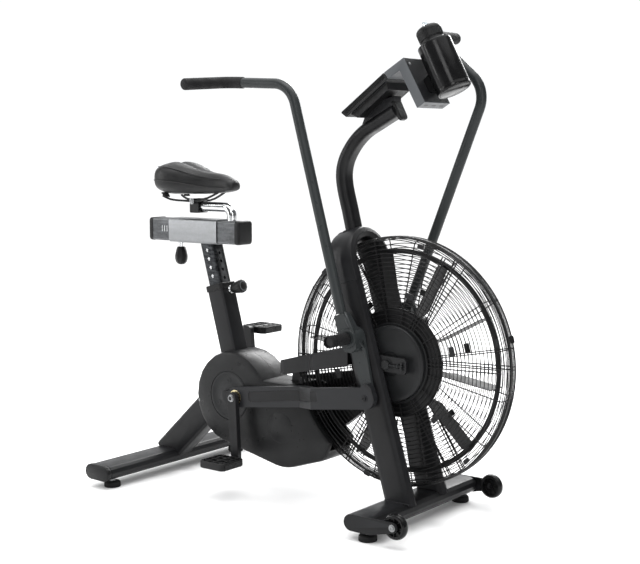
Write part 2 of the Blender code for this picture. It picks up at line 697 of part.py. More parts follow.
def make_drive():
    low, high = RIGHT_BELT_Y
    web = (low + high) / 2
    profile = [(SPINDLE_RADIUS + 0.0003, -0.043), (0.022, -0.043), (0.022, web - 0.002), (0.086, low - 0.001),
               (CRANK_PULLEY_RADIUS, low - 0.001), (CRANK_PULLEY_RADIUS, high + 0.001), (0.086, high + 0.001),
               (0.022, web + 0.002), (0.022, -0.0205), (SPINDLE_RADIUS + 0.0003, -0.0205)]
    node(turned(profile, CRANK, sides=20), "crank_pulley", "plastic", CRANK)
    belt("primary_belt", CRANK, CRANK_PULLEY_RADIUS, IDLER, SMALL_PULLEY_RADIUS, RIGHT_BELT_Y)
    shaft = 0.008
    left_low, left_high = LEFT_BELT_Y
    profile = [(0.0, -0.041), (SMALL_PULLEY_RADIUS, -0.041), (SMALL_PULLEY_RADIUS, -0.024), (0.014, -0.024),
               (0.014, -0.020), (shaft, -0.020), (shaft, 0.020), (0.014, 0.020), (0.014, left_low - 0.001),
               (LARGE_PULLEY_RADIUS, left_low - 0.001), (LARGE_PULLEY_RADIUS, left_high + 0.001),
               (0.014, left_high + 0.001), (0.014, 0.055), (0.0, 0.055)]
    node(turned(profile, IDLER, sides=18), "idler_pulleys", "zinc", IDLER)
    belt("fan_belt", IDLER, LARGE_PULLEY_RADIUS, FAN, FAN_PULLEY_RADIUS, LEFT_BELT_Y)
    make_crankshaft()


def pin_at(side):
    """Centre of the crank pin: the left one is half a turn from the right one."""
    return CRANK - PIN_OFFSET * side


def pedal_at(side):
    down = Vector((math.sin(ARM_TILT), 0.0, -math.cos(ARM_TILT)))
    return pin_at(side) - down * ARM_LENGTH * side


def make_crankshaft():
    """Spindle, webs and pins in one piece, then the arms bolted to the pins and the pedals."""
    shaft = rod(at(CRANK, -0.0700), at(CRANK, 0.0700), SPINDLE_RADIUS, 24)
    webs = []
    for _, side in sides():
        pin = pin_at(side)
        outline = hull((CRANK.x, CRANK.z, 0.0165), (pin.x, pin.z, 0.0135), steps=20)
        webs.append(prism(outline, side * 0.0635, side * 0.0705))
        webs.append(rod(at(pin, side * 0.069), at(pin, side * 0.0940), PIN_RADIUS, 20))
    node(join(shaft, *webs), "crankshaft", "zinc", CRANK)
    for name, side in sides():
        pin = pin_at(side)
        pedal = pedal_at(side)
        arm = prism(hull((pin.x, pin.z, 0.0165), (pedal.x, pedal.z, 0.0135), steps=20), side * 0.0945, side * 0.1100)
        bolt = turned([(0.0, 0.105), (0.0085, 0.105), (0.0085, 0.1125), (0.0065, 0.114), (0.0, 0.114)],
                      at(pin, 0.0), (0, side, 0), 16)
        node(join(arm, bolt), "crank_arm_" + name, "powder", CRANK)
        make_pedal(name, side, pedal)


def make_pedal(name, side, centre):
    """A platform pedal: a frame with two windows round its axle."""
    inner = 0.118
    outer = 0.212
    half = 0.046
    middle = (inner + outer) / 2
    plan = rounded([(centre.x - half, inner), (centre.x + half, inner), (centre.x + half, outer - 0.012),
                    (centre.x + half - 0.020, outer), (centre.x - half + 0.020, outer),
                    (centre.x - half, outer - 0.012)], 0.006, 2)
    plan = [(x, side * y) for x, y in plan][::int(side)]
    body = prism(plan, centre.z - 0.011, centre.z + 0.011, "Z")
    windows = []
    for shift in (-1, 1):
        x = centre.x + shift * 0.026
        across = sorted((side * (middle - 0.033), side * (middle + 0.033)))
        window = box((x - 0.013, across[0], centre.z - 0.05), (x + 0.013, across[1], centre.z + 0.05))
        windows.append(window)
    cut(body, *windows)
    axle = rod(at(centre, side * 0.1103), at(centre, side * 0.125), 0.0065, 16)
    node(join(body, axle), "pedal_" + name, "plastic", at(centre, side * 0.160))


def make_links():
    """The bars from the crank pins to the arms' lower ends, each with its rear bearing."""
    for name, side in sides():
        rear = pin_at(side)
        front = PIVOT + swung(LINK_END, side)
        ear = front + Vector((0.003, 0.0, 0.018))
        bar = prism(hull((rear.x, rear.z, 0.029), (front.x, front.z, 0.029), steps=24), -0.14, 0.14)
        join(bar, prism(hull((front.x, front.z, 0.024), (ear.x, ear.z, 0.020), steps=24), -0.13, 0.13))
        plan = [(-0.035, 0.0745), (0.240, 0.0745), (0.305, 0.1080), (0.56, 0.1080), (0.56, 0.1255), (0.300, 0.1255),
                (0.235, 0.0915), (-0.035, 0.0915)]
        slab = prism([(rear.x + x, side * y) for x, y in plan][::int(side)], 0.1, 0.6, "Z")
        combine(bar, [slab], "INTERSECT")
        cut(bar, rod(at(rear, side * 0.06), at(rear, side * 0.10), 0.0213, 32))
        node(bar, "link_" + name, "powder", rear)
        node(ring(at(rear, 0.0), PIN_RADIUS + 0.0004, 0.0210, side * 0.0738, side * 0.0925, 32),
             "link_bearing_" + name, "brass", rear)


# ---- fan -------------------------------------------------------------------------

def make_fan():
    axle = rod(at(FAN, -0.0790), at(FAN, 0.0790), AXLE_RADIUS, 20)
    nuts = []
    for _, side in sides():
        nuts.append(rod(at(FAN, side * 0.0740), at(FAN, side * 0.0815), 0.0130, 6))
    node(join(axle, *nuts), "fan_axle", "zinc")
    bore = AXLE_RADIUS + 0.0008
    profile = [(bore, -0.037), (0.040, -0.037), (DRUM_RADIUS, -0.034), (DRUM_RADIUS, -0.0315), (0.040, -0.0335),
               (0.016, -0.0335), (0.016, 0.0395), (FAN_PULLEY_RADIUS, 0.0395), (FAN_PULLEY_RADIUS, 0.0525), (bore, 0.0525)]
    rotor = turned(profile, FAN, sides=24)
    blades = []
    for k in range(BLADES):
        blade = box((0.110, -0.0335, -0.001), (BLADE_RADIUS + 0.002, 0.026, 0.001))
        angle = 2 * math.pi * k / BLADES + math.radians(28)
        blade.data.transform(Matrix.Translation(FAN) @ Matrix.Rotation(-angle, 4, "Y"))
        blades.append(blade)
    hoop = ring(FAN, BLADE_RADIUS, BLADE_RADIUS + 0.004, -0.007, 0.007, 30)
    node(join(rotor, hoop, *blades), "fan_rotor", "plastic", FAN)
    make_guards()


def make_guards():
    """Two cages round the fan, each a rim, coarse rings and ribs, and a hub."""
    for name, side, span in (("right", -1.0, GUARD_RIGHT_Y), ("left", 1.0, GUARD_LEFT_Y)):
        face = span[0] if side < 0 else span[1]
        inside = face - side * 0.003
        pieces = [ring(FAN, GUARD_RADIUS - 0.006, GUARD_RADIUS, *span, 36)]
        for radius in (0.170, 0.250):
            pieces.append(ring(FAN, radius - 0.002, radius + 0.002, face, inside, 16))
        for k in range(6):
            rib = box((0.055 if side > 0 else 0.096, min(face, inside), -0.0022),
                      (GUARD_RADIUS - 0.003, max(face, inside), 0.0022))
            angle = 2 * math.pi * (k + 0.5) / 6
            rib.data.transform(Matrix.Translation(FAN) @ Matrix.Rotation(-angle, 4, "Y"))
            pieces.append(rib)
        if side < 0:
            hub = turned([(AXLE_RADIUS + 0.001, -0.0560), (0.097, -0.0560), (0.101, -0.0530), (0.101, -0.0410),
                          (0.098, -0.0410), (0.098, -0.0530), (AXLE_RADIUS + 0.001, -0.0530)], FAN, sides=20)
        else:
            hub = ring(FAN, 0.0185, 0.062, inside, face, 24)
        node(join(hub, *pieces), "guard_" + name, "powder")


# ---- arms ------------------------------------------------------------------------

def swing_matrix(side):
    """Turns an upright arm to its rest position: the right one back, the left one forward."""
    here = Matrix.Translation(PIVOT)
    return here @ Matrix.Rotation(side * ARM_SWING, 4, "Y") @ here.inverted()


def swung(offset_from_pivot, side):
    return Matrix.Rotation(side * ARM_SWING, 3, "Y") @ offset_from_pivot


def make_arms():
    for name, side in sides():
        y = side * ARM_Y
        for piece, label, finish in (
            (lever(side), "lever_", "arm_paint"),
            (handlebar(y), "handlebar_", "arm_paint"),
            (grip(side), "grip_", "rubber"),
        ):
            piece.data.transform(swing_matrix(side))
            node(piece, label + name, finish, at(PIVOT, y))
        profile = [(0.0124, 0.1475), (PEG_RADIUS, 0.1475), (PEG_RADIUS, 0.2180), (0.0124, 0.2180)]
        node(turned(profile, PIVOT, (0, side, 0), 16), "peg_" + name, "rubber")


def lever(side):
    """The casting that carries the arm: socket, pivot hub and the plate down to the link."""
    x, z = PIVOT.x, PIVOT.z
    upper = rounded([(x - 0.0250, z + 0.066), (x + 0.0090, z + 0.066), (x + 0.0285, z + 0.006),
                     (x + 0.0285, z - 0.026), (x + 0.020, z - 0.040), (x - 0.020, z - 0.040),
                     (x - 0.0285, z - 0.026), (x - 0.0285, z + 0.006)], 0.006, 2)
    block = prism(upper[::-1], side * 0.112, side * 0.144)
    end = PIVOT + LINK_END
    plate = prism(hull((x, z, 0.0285), (end.x, end.z, 0.016), steps=24), side * 0.0970, side * 0.1065)
    hub = rod(at(PIVOT, side * 0.0970), at(PIVOT, side * 0.1465), 0.0270, 16)
    bore = rod(at(PIVOT, side * 0.09), at(PIVOT, side * 0.15), 0.0127, 16)
    link_hole = rod(at(end, side * 0.09), at(end, side * 0.11), 0.005, 8)
    return cut(join(block, plate, hub), bore, link_hole)


def arm_route():
    """Points of the upright arm's centre line, and the point where the grip starts."""
    seam = PIVOT + SEAM
    elbow = PIVOT + ELBOW
    corner = PIVOT + CORNER
    grip_start = corner + (elbow - corner).normalized() * 0.055
    return seam, elbow, grip_start, corner


def handlebar(y):
    seam, elbow, grip_start, _ = arm_route()
    start = seam + (elbow - seam).normalized() * 0.0015
    route = [at(p, y) for p in (start, elbow, grip_start)]
    return sweep(bent(route, 0.075, 5), circle((0.0, 0.0), ARM_RADIUS, 10))


def grip(side):
    _, elbow, grip_start, corner = arm_route()
    start = grip_start + (corner - elbow).normalized() * GAP
    end = PIVOT + Vector((GRIP_END.x, 0.0, GRIP_END.z))
    route = [at(start, side * ARM_Y), at(corner, side * ARM_Y), at(end, side * (ARM_Y + GRIP_END.y))]
    body = sweep(bent(route, 0.040, 4), circle((0.0, 0.0), GRIP_RADIUS, 10))
    tip = (route[2] - route[1]).normalized()
    dome = [(0.0, -0.006)]
    dome += [(GRIP_RADIUS * 0.99 * math.cos(a), 0.008 * math.sin(a)) for a in (0.0, 0.6, 1.1)]
    dome.append((0.0, 0.008))
    dome[1:1] = [(GRIP_RADIUS * 0.99, -0.006)]
    return join(body, turned(dome, route[2], tip, 10))


# ---- seat ------------------------------------------------------------------------

def side_section(half, low, high, radius):
    """A rounded rectangle in YZ."""
    return rounded([(-half, low), (half, low), (half, high), (-half, high)], radius)


def make_seat():
    low, high = RAIL_Z
    inner = GAP
    outer = GAP + SLEEVE_WALL
    post_top = COLLAR + POST_UP * 0.140
    post = sweep([COLLAR - POST_UP * 0.150, post_top], rectangle(POST_SIZE[1], POST_SIZE[0], 0.006))
    cut(post, box((-0.7, -0.1, low - outer + 0.001), (0.0, 0.1, 0.9)))
    holes = []
    for k in range(5):
        hole = COLLAR + POST_UP * (0.018 + 0.025 * k)
        holes.append(rod(hole + POST_FRONT * 0.018, hole + POST_FRONT * 0.03, 0.0048, 12))
    cut(post, *holes[:4])
    bpy.data.objects.remove(holes[4])
    sleeve = prism(side_section(RAIL_HALF + outer, low - outer, high + outer, 0.009), *SLEEVE_X, "X")
    bore = prism(side_section(RAIL_HALF + inner, low - inner, high + inner, 0.006), -0.7, -0.2, "X")
    carriage = cut(join(sleeve, post), bore, rod((-0.517, 0, 0.69), (-0.517, 0, 0.71), 0.0045, 12))
    node(carriage, "seat_carriage", "chrome", COLLAR)
    rail = prism(side_section(RAIL_HALF, low, high, 0.006), *RAIL_X, "X")
    caps = []
    for start, end in ((RAIL_X[0] - 0.016, RAIL_X[0] + 0.001), (RAIL_X[1] - 0.001, RAIL_X[1] + 0.016)):
        caps.append(prism(side_section(RAIL_HALF + 0.0015, low - 0.0015, high + 0.0015, 0.009), start, end, "X"))
    node(join(rail, *caps), "seat_rail", "chrome", (SEAT_STEM_X, 0.0, high))
    make_saddle(high)
    make_knobs()


def make_saddle(rail_top):
    bar_end = -0.4500
    route = bent([(SEAT_STEM_X, 0.0, rail_top + GAP), (SEAT_STEM_X, 0.0, SEAT_BAR_Z), (bar_end, 0.0, SEAT_BAR_Z)],
                 0.024, 6)
    node(sweep(route, circle((0.0, 0.0), STEM_RADIUS, 14)), "seat_stem", "chrome", (SEAT_STEM_X, 0.0, rail_top))
    clamp = prism(rounded([(-0.460, 0.791), (-0.426, 0.791), (-0.426, 0.828), (-0.460, 0.834)], 0.004), -0.021, 0.021)
    rails = [rod((-0.443, -0.030, 0.826), (-0.443, 0.030, 0.826), 0.0075, 10)]
    for _, side in sides():
        wire = smooth([(-0.552, side * 0.040, 0.8395), (-0.525, side * 0.034, 0.829), (-0.480, side * 0.026, 0.826),
                       (-0.420, side * 0.024, 0.827), (-0.375, side * 0.018, 0.842), (-0.340, side * 0.012, 0.8590)], 2)
        rails.append(sweep(wire, circle((0.0, 0.0), 0.0034, 5)))
    tilt = (-0.443, 0.0, 0.826)
    join(clamp, *rails)
    tilt_clearance = 0.0021
    cut(clamp, rod((bar_end - 0.004, 0, SEAT_BAR_Z), (-0.40, 0, SEAT_BAR_Z), STEM_RADIUS + tilt_clearance, 16))
    node(clamp, "saddle_clamp", "plastic", tilt)
    node(saddle_solid(), "saddle", "vinyl", tilt)


def saddle_solid():
    """The saddle's outer shape, from the tail to the nose: (x, half width, underside, top)."""
    stations = [(-0.5700, 0.045, 0.874, 0.912), (-0.5600, 0.070, 0.856, 0.930), (-0.5350, 0.088, 0.8455, 0.941),
                (-0.5000, 0.090, 0.8455, 0.940), (-0.4600, 0.074, 0.8470, 0.926), (-0.4200, 0.050, 0.8500, 0.912),
                (-0.3800, 0.034, 0.8550, 0.903), (-0.3400, 0.026, 0.8620, 0.896), (-0.3050, 0.021, 0.8650, 0.889),
                (-0.2880, 0.013, 0.8680, 0.884)]
    rings = []
    for x, half, low, high in stations:
        ring_points = []
        for k in range(14):
            angle = 2 * math.pi * k / 14
            across = math.copysign(abs(math.cos(angle)) ** 0.7, math.cos(angle))
            upward = math.copysign(abs(math.sin(angle)) ** 0.7, math.sin(angle))
            ring_points.append((x, half * across, (low + high) / 2 + (high - low) / 2 * upward))
        rings.append(ring_points)
    return skin(rings)


def make_knobs():
    hole = COLLAR - POST_UP * 0.020
    profile = [(0.0, 0.0248), (0.0055, 0.0248), (0.0055, 0.0305), (0.0120, 0.0305), (0.0120, 0.0400),
               (0.0100, 0.0440), (0.0140, 0.0470), (0.0195, 0.0760), (0.0195, 0.0840), (0.0165, 0.0880), (0.0, 0.0880)]
    node(turned(profile, hole, POST_FRONT, 12), "height_knob", "plastic", hole)
    bottom = RAIL_Z[0] - SLEEVE_WALL - 2 * GAP
    profile = [(0.0, 0.7042), (0.0040, 0.7042), (0.0040, bottom), (0.0085, bottom), (0.0085, 0.6965),
               (0.0060, 0.6955), (0.0060, 0.6880), (0.0130, 0.6850), (0.0190, 0.6600), (0.0190, 0.6450),
               (0.0100, 0.6330), (0.0, 0.6320)]
    node(turned(profile, (-0.517, 0.0, 0.0), (0, 0, 1), 12), "slider_knob", "plastic", (-0.517, 0.0, 0.67))


def clear_scene():
    for obj in list(bpy.data.objects):
        bpy.data.objects.remove(obj)


def main():
    clear_scene()
    make_rear_base()
    make_front_base()
    make_fork()
    make_main_frame()
    make_yoke()
    make_mast()
    make_console()
    make_bottle()
    make_belt_covers()
    make_fan_belt_cover()
    make_drive()
    make_links()
    make_fan()
    make_arms()
    make_seat()


main()
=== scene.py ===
"""The looks of the air bike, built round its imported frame.

Metres, +X towards the fan, +Y the rider's left, +Z up. Each piece rides on the CAD
body it belongs to. Shapes are (points, faces) pairs, and piece() joins them in one mesh.
"""

import json
import math

import bmesh
import bpy
from mathutils import Matrix, Vector, noise


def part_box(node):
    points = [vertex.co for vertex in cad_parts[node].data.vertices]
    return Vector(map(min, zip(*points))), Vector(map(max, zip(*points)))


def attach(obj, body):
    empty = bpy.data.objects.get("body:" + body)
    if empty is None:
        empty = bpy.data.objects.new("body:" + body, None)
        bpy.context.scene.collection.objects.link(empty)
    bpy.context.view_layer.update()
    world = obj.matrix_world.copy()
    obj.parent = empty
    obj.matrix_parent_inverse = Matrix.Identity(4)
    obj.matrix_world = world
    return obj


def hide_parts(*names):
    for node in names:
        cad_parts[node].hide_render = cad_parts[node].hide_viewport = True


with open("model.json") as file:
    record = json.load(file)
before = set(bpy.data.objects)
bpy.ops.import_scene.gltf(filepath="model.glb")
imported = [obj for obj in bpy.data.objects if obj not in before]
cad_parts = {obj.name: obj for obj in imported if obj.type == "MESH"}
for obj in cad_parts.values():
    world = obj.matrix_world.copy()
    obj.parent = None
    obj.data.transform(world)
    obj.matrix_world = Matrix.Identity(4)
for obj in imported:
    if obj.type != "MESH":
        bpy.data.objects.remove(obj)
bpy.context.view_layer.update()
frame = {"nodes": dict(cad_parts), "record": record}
BODY_OF = {node: body for body, nodes in frame["record"]["behaviour"]["bodies"].items() for node in nodes}
SIDES = (("right", -1.0), ("left", 1.0))


# ---- places, from the frame -------------------------------------------------------

def centre(node):
    low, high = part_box(node)
    return (low + high) / 2


CRANK = centre("crank_cover_right") * Vector((1, 0, 1))
IDLER = Vector((-0.082, 0.0, 0.194))
FAN = centre("fan_axle") * Vector((1, 0, 1))
PIVOT = Vector((0.212, 0.0, 0.493))
LEAN = math.atan(0.3065)
FORK_BASE = Vector((0.337, 0.0, 0.070))
FORK_UP = Vector((-math.sin(LEAN), 0.0, math.cos(LEAN)))
FORK_FRONT = Vector((math.cos(LEAN), 0.0, math.sin(LEAN)))
POST_LEAN = math.radians(15.6)
POST_UP = Vector((-math.sin(POST_LEAN), 0.0, math.cos(POST_LEAN)))
POST_FRONT = Vector((math.cos(POST_LEAN), 0.0, math.sin(POST_LEAN)))
COLLAR = Vector((-0.359, 0.0, 0.580))
CONSOLE_UP = Vector((0.81, 0.0, 0.5864))
CONSOLE_FACE = Vector((-0.5864, 0.0, 0.81))
CONSOLE_LOW = Vector((0.128, 0.0, 1.076))
BOTTLE_LOW = Vector((0.442, 0.0, 1.127))
BOTTLE_UP = Vector((-0.468, 0.0, 0.884)).normalized()
ARM_SWING = math.radians(18.86)
X_AXIS = Vector((1, 0, 0))
Y_AXIS = Vector((0, 1, 0))
Z_AXIS = Vector((0, 0, 1))


# ---- shapes -----------------------------------------------------------------------

def circle(radius, sides, phase=0.0):
    step = 2 * math.pi / sides
    return [(radius * math.cos(phase + step * k), radius * math.sin(phase + step * k)) for k in range(sides)]


def rounded_rectangle(width, height, radius, steps=5):
    """A rounded rectangle about the origin, anticlockwise."""
    points = []
    for quarter, (sx, sy) in enumerate(((1, 1), (-1, 1), (-1, -1), (1, -1))):
        for k in range(steps + 1):
            angle = math.pi / 2 * (quarter + k / steps)
            points.append((sx * (width / 2 - radius) + radius * math.cos(angle),
                           sy * (height / 2 - radius) + radius * math.sin(angle)))
    return points


def loft(rings, closed=False):
    """A skin over equal rings, capped at both ends unless closed into a loop."""
    size = len(rings[0])
    points = [Vector(p) for ring in rings for p in ring]
    faces = []
    spans = len(rings) if closed else len(rings) - 1
    for i in range(spans):
        here = i * size
        there = (i + 1) % len(rings) * size
        for k in range(size):
            after = (k + 1) % size
            faces.append((here + k, here + after, there + after, there + k))
    if not closed:
        faces.append(tuple(reversed(range(size))))
        faces.append(tuple(range(len(points) - size, len(points))))
    return points, faces


def frames_along(route, closed=False, up=None):
    """Each route point with a tangent and two directions across it that don't twist."""
    count = len(route)
    side = None
    for i, point in enumerate(route):
        before = route[i - 1] if closed or i else route[0]
        after = route[(i + 1) % count] if closed or i < count - 1 else route[-1]
        tangent = (after - before).normalized()
        if side is None:
            seed = up or (Z_AXIS if abs(tangent.z) < 0.9 else X_AXIS)
            side = tangent.cross(seed)
        side = (side - tangent * side.dot(tangent)).normalized()
        yield point, tangent, side, side.cross(tangent)


def tube(route, section, closed=False, scale=None, up=None):
    """A section, as a radius or a 2D outline, swept along a route."""
    outline = circle(section, 16) if isinstance(section, float) else section
    route = [Vector(p) for p in route]
    rings = []
    for i, (point, _, side, over) in enumerate(frames_along(route, closed, up)):
        grow = scale[i] if scale else 1.0
        rings.append([point + side * a * grow + over * b * grow for a, b in outline])
    return loft(rings, closed)


def lathe(profile, origin, axis, sides=48):
    """A solid of revolution: (radius, distance along the axis) pairs turned about it."""
    origin = Vector(origin)
    axis = Vector(axis).normalized()
    across = axis.cross(X_AXIS if abs(axis.x) < 0.9 else Y_AXIS).normalized()
    over = axis.cross(across)
    rings = []
    for radius, along in profile:
        turn = circle(max(radius, 1e-5), sides)
        rings.append([origin + axis * along + across * a + over * b for a, b in turn])
    points, faces = loft(rings)
    return points, [tuple(reversed(face)) for face in faces]


def hoop(origin, radius, section, sides=96, axis=Y_AXIS):
    """A ring about an axis whose section is a radius or a 2D outline."""
    across = axis.cross(X_AXIS if abs(axis.x) < 0.9 else Y_AXIS).normalized()
    over = axis.cross(across)
    route = [Vector(origin) + across * a + over * b for a, b in circle(radius, sides)]
    return tube(route, section, closed=True, up=axis)


def slab(outline, low, high, axis="Y"):
    """An outline extruded along an axis: (x, z) along Y, (x, y) along Z and (y, z) along X."""
    place = {
        "X": lambda a, b, c: (c, a, b),
        "Y": lambda a, b, c: (a, c, b),
        "Z": lambda a, b, c: (a, b, c),
    }[axis]
    return loft([[place(a, b, c) for a, b in outline] for c in (low, high)])


def box(low, high):
    """A block between two opposite corners."""
    return slab([(low[0], low[2]), (high[0], low[2]), (high[0], high[2]), (low[0], high[2])], low[1], high[1])


def placed(shape, origin, x_axis, y_axis, z_axis):
    """A shape drawn about the origin, moved to a frame of its own."""
    points, faces = shape
    origin = Vector(origin)
    return [origin + x_axis * p[0] + y_axis * p[1] + z_axis * p[2] for p in points], faces


def bent(corners, radii, steps=10):
    """A route with straight runs whose corners are arcs."""
    corners = [Vector(c) for c in corners]
    route = [corners[0]]
    for before, corner, after, radius in zip(corners, corners[1:], corners[2:], radii):
        back = (before - corner).normalized()
        on = (after - corner).normalized()
        half = back.angle(on) / 2
        middle = corner + (back + on).normalized() * radius / math.sin(half)
        start = corner + back * radius / math.tan(half) - middle
        end = corner + on * radius / math.tan(half) - middle
        turn = [start.normalized().slerp(end.normalized(), k / steps) for k in range(steps + 1)]
        route += [middle + direction * radius for direction in turn]
    route.append(corners[-1])
    return route


def smooth(points, steps=6):
    """A Catmull-Rom curve through the points."""
    points = [Vector(p) for p in points]
    route = []
    padded = [points[0] * 2 - points[1], *points, points[-1] * 2 - points[-2]]
    for a, b, c, d in zip(padded, padded[1:], padded[2:], padded[3:]):
        for k in range(steps):
            t = k / steps
            route.append((b * 2 + (c - a) * t + (a * 2 - b * 5 + c * 4 - d) * t * t
                          + (b * 3 - a - c * 3 + d) * t ** 3) / 2)
    route.append(points[-1])
    return route


def bolt(origin, axis, radius=0.006, height=0.004, hexagon=True):
    """A bolt head on its washer, standing on origin."""
    axis = Vector(axis).normalized()
    thick = 0.0008
    washer = [(0, 0), (radius * 1.5, 0), (radius * 1.5, thick), (0, thick)]
    sides = 6 if hexagon else 28
    crown = radius * 0.86
    head = [(0, thick), (radius, thick), (radius, height * 0.8), (crown, height),
            (crown * 0.55, height), (crown * 0.5, height * 0.5), (0, height * 0.5)]
    return [lathe(washer, origin, axis, 28), lathe(head, origin, axis, sides)]


# ---- materials --------------------------------------------------------------------

class Graph:
    """A material's node tree, built with short calls."""

    def __init__(self, name, colour, roughness, metallic):
        self.material = bpy.data.materials.new(name)
        self.material.use_nodes = True
        self.tree = self.material.node_tree
        self.shader = self.tree.nodes["Principled BSDF"]
        self.shader.inputs["Base Color"].default_value = (*colour, 1)
        self.shader.inputs["Roughness"].default_value = roughness
        self.shader.inputs["Metallic"].default_value = metallic
        self.shader.inputs["Specular IOR Level"].default_value = 0.5 if metallic else 0.19
        self.place = self.tree.nodes.new("ShaderNodeTexCoord").outputs["Object"]

    def join(self, output, node, name):
        self.tree.links.new(output, node.inputs[name])

    def noise(self, scale, detail=3.0, stretch=None):
        node = self.tree.nodes.new("ShaderNodeTexNoise")
        node.inputs["Scale"].default_value = scale
        node.inputs["Detail"].default_value = detail
        self.join(self.stretched(stretch), node, "Vector")
        return node.outputs["Fac"]

    def cells(self, scale, output="Color"):
        node = self.tree.nodes.new("ShaderNodeTexVoronoi")
        node.inputs["Scale"].default_value = scale
        self.join(self.place, node, "Vector")
        return node.outputs[output]

    def stretched(self, stretch):
        if stretch is None:
            return self.place
        node = self.tree.nodes.new("ShaderNodeMapping")
        node.inputs["Scale"].default_value = stretch
        self.join(self.place, node, "Vector")
        return node.outputs["Vector"]

    def spread(self, value, low, high, start=0.3, end=0.7):
        node = self.tree.nodes.new("ShaderNodeMapRange")
        self.join(value, node, "Value")
        for name, number in (("From Min", start), ("From Max", end), ("To Min", low), ("To Max", high)):
            node.inputs[name].default_value = number
        return node.outputs["Result"]

    def mix(self, factor, first, second):
        """A colour between two, each a colour or an output."""
        node = self.tree.nodes.new("ShaderNodeMix")
        node.data_type = "RGBA"
        self.join(factor, node, 0)
        for index, value in ((6, first), (7, second)):
            if isinstance(value, tuple):
                node.inputs[index].default_value = (*value, 1)
            else:
                self.join(value, node, index)
        return node.outputs[2]

    def edges(self, low=0.51, high=0.60):
        """How sharply the surface bends outwards: 0 on a flat, 1 on an edge."""
        node = self.tree.nodes.new("ShaderNodeNewGeometry")
        return self.spread(node.outputs["Pointiness"], 0.0, 1.0, low, high)

    def colour(self, output):
        self.join(output, self.shader, "Base Color")

    def roughness(self, output):
        self.join(output, self.shader, "Roughness")

    def bump(self, height, distance, strength=1.0):
        node = self.tree.nodes.new("ShaderNodeBump")
        node.inputs["Distance"].default_value = distance
        node.inputs["Strength"].default_value = strength
        self.join(height, node, "Height")
        self.join(node.outputs["Normal"], self.shader, "Normal")


def painted(name, colour, roughness, worn, grain_scale=520.0, depth=0.00012):
    """Powder coat or paint: a fine orange peel, dust in patches and edges rubbed lighter."""
    graph = Graph(name, colour, roughness, 0.0)
    dusty = tuple(c * 1.5 + 0.004 for c in colour)
    patches = graph.mix(graph.spread(graph.noise(9.0, 5.0), 0.0, 1.0), colour, dusty)
    graph.colour(graph.mix(graph.edges(), patches, worn))
    graph.roughness(graph.spread(graph.noise(38.0, 4.0), roughness - 0.06, roughness + 0.07))
    graph.bump(graph.noise(grain_scale, 2.0), depth)
    return graph.material


def moulded(name, colour, roughness, grain_scale, depth):
    """Moulded plastic: a fine spark-eroded texture with slight sheen changes."""
    graph = Graph(name, colour, roughness, 0.0)
    lighter = tuple(c * 1.35 + 0.003 for c in colour)
    graph.colour(graph.mix(graph.spread(graph.noise(14.0, 4.0), 0.0, 1.0), colour, lighter))
    graph.roughness(graph.spread(graph.noise(60.0, 3.0), roughness - 0.05, roughness + 0.06))
    graph.bump(graph.cells(grain_scale, "Distance"), depth)
    return graph.material


def polished(name, colour, roughness):
    """Bright metal with faint smears and fine brushing."""
    graph = Graph(name, colour, roughness, 1.0)
    dull = tuple(c * 0.8 for c in colour)
    graph.colour(graph.mix(graph.spread(graph.noise(26.0, 5.0), 0.0, 1.0), colour, dull))
    graph.roughness(graph.spread(graph.noise(90.0, 5.0, (1.0, 1.0, 6.0)), roughness * 0.6, roughness * 1.7))
    graph.bump(graph.noise(700.0, 2.0), 0.00003)
    return graph.material


def galvanised(name, dark, bright):
    """Zinc-coated steel: crystals of different greys, mottled and a little rough, with painted highlights
    along its edges.
    """
    graph = Graph(name, dark, 0.34, 1.0)
    crystals = graph.spread(graph.cells(210.0), 0.0, 1.0, 0.1, 0.9)
    mottle = graph.spread(graph.noise(75.0, 6.0, (0.4, 1.0, 1.7)), 0.0, 1.0, 0.40, 0.68)
    base = graph.mix(crystals, dark, tuple((a + b) / 2 for a, b in zip(dark, bright)))
    # The edges are mixed towards a pale grey: painted highlights.
    graph.colour(graph.mix(graph.edges(0.52, 0.58), graph.mix(mottle, base, bright), (0.42, 0.43, 0.44)))
    graph.roughness(graph.spread(graph.noise(120.0, 4.0), 0.30, 0.52))
    graph.bump(graph.noise(240.0, 4.0), 0.0003)
    return graph.material


def leathery(name, colour):
    """Seat vinyl: small pebbled grain, creases and worn patches that shine more."""
    graph = Graph(name, colour, 0.42, 0.0)
    graph.shader.inputs["Coat Weight"].default_value = 0.15
    graph.shader.inputs["Coat Roughness"].default_value = 0.35
    lighter = tuple(c * 1.8 + 0.004 for c in colour)
    graph.colour(graph.mix(graph.spread(graph.noise(22.0, 5.0), 0.0, 1.0), colour, lighter))
    graph.roughness(graph.spread(graph.noise(30.0, 4.0), 0.33, 0.52))
    graph.bump(graph.cells(900.0, "Distance"), 0.00022)
    return graph.material


def rubbery(name, colour, ridges=0.0):
    """Rubber: dull, faintly blotched with bloom, with a fine matt grain."""
    graph = Graph(name, colour, 0.68, 0.0)
    bloom = tuple(c * 1.7 + 0.005 for c in colour)
    graph.colour(graph.mix(graph.spread(graph.noise(18.0, 5.0), 0.0, 1.0), colour, bloom))
    graph.roughness(graph.spread(graph.noise(45.0, 4.0), 0.58, 0.80))
    graph.bump(graph.noise(900.0 + ridges, 3.0), 0.00016)
    return graph.material


def clear_plastic(name):
    """Cloudy soft plastic that lets light through."""
    graph = Graph(name, (0.72, 0.80, 0.84), 0.22, 0.0)
    graph.shader.inputs["Transmission Weight"].default_value = 0.75
    graph.shader.inputs["IOR"].default_value = 1.46
    graph.colour(graph.mix(graph.spread(graph.noise(40.0), 0.0, 1.0), (0.72, 0.80, 0.84), (0.86, 0.90, 0.92)))
    graph.roughness(graph.spread(graph.noise(80.0, 3.0), 0.15, 0.32))
    graph.bump(graph.noise(300.0), 0.00008)
    return graph.material


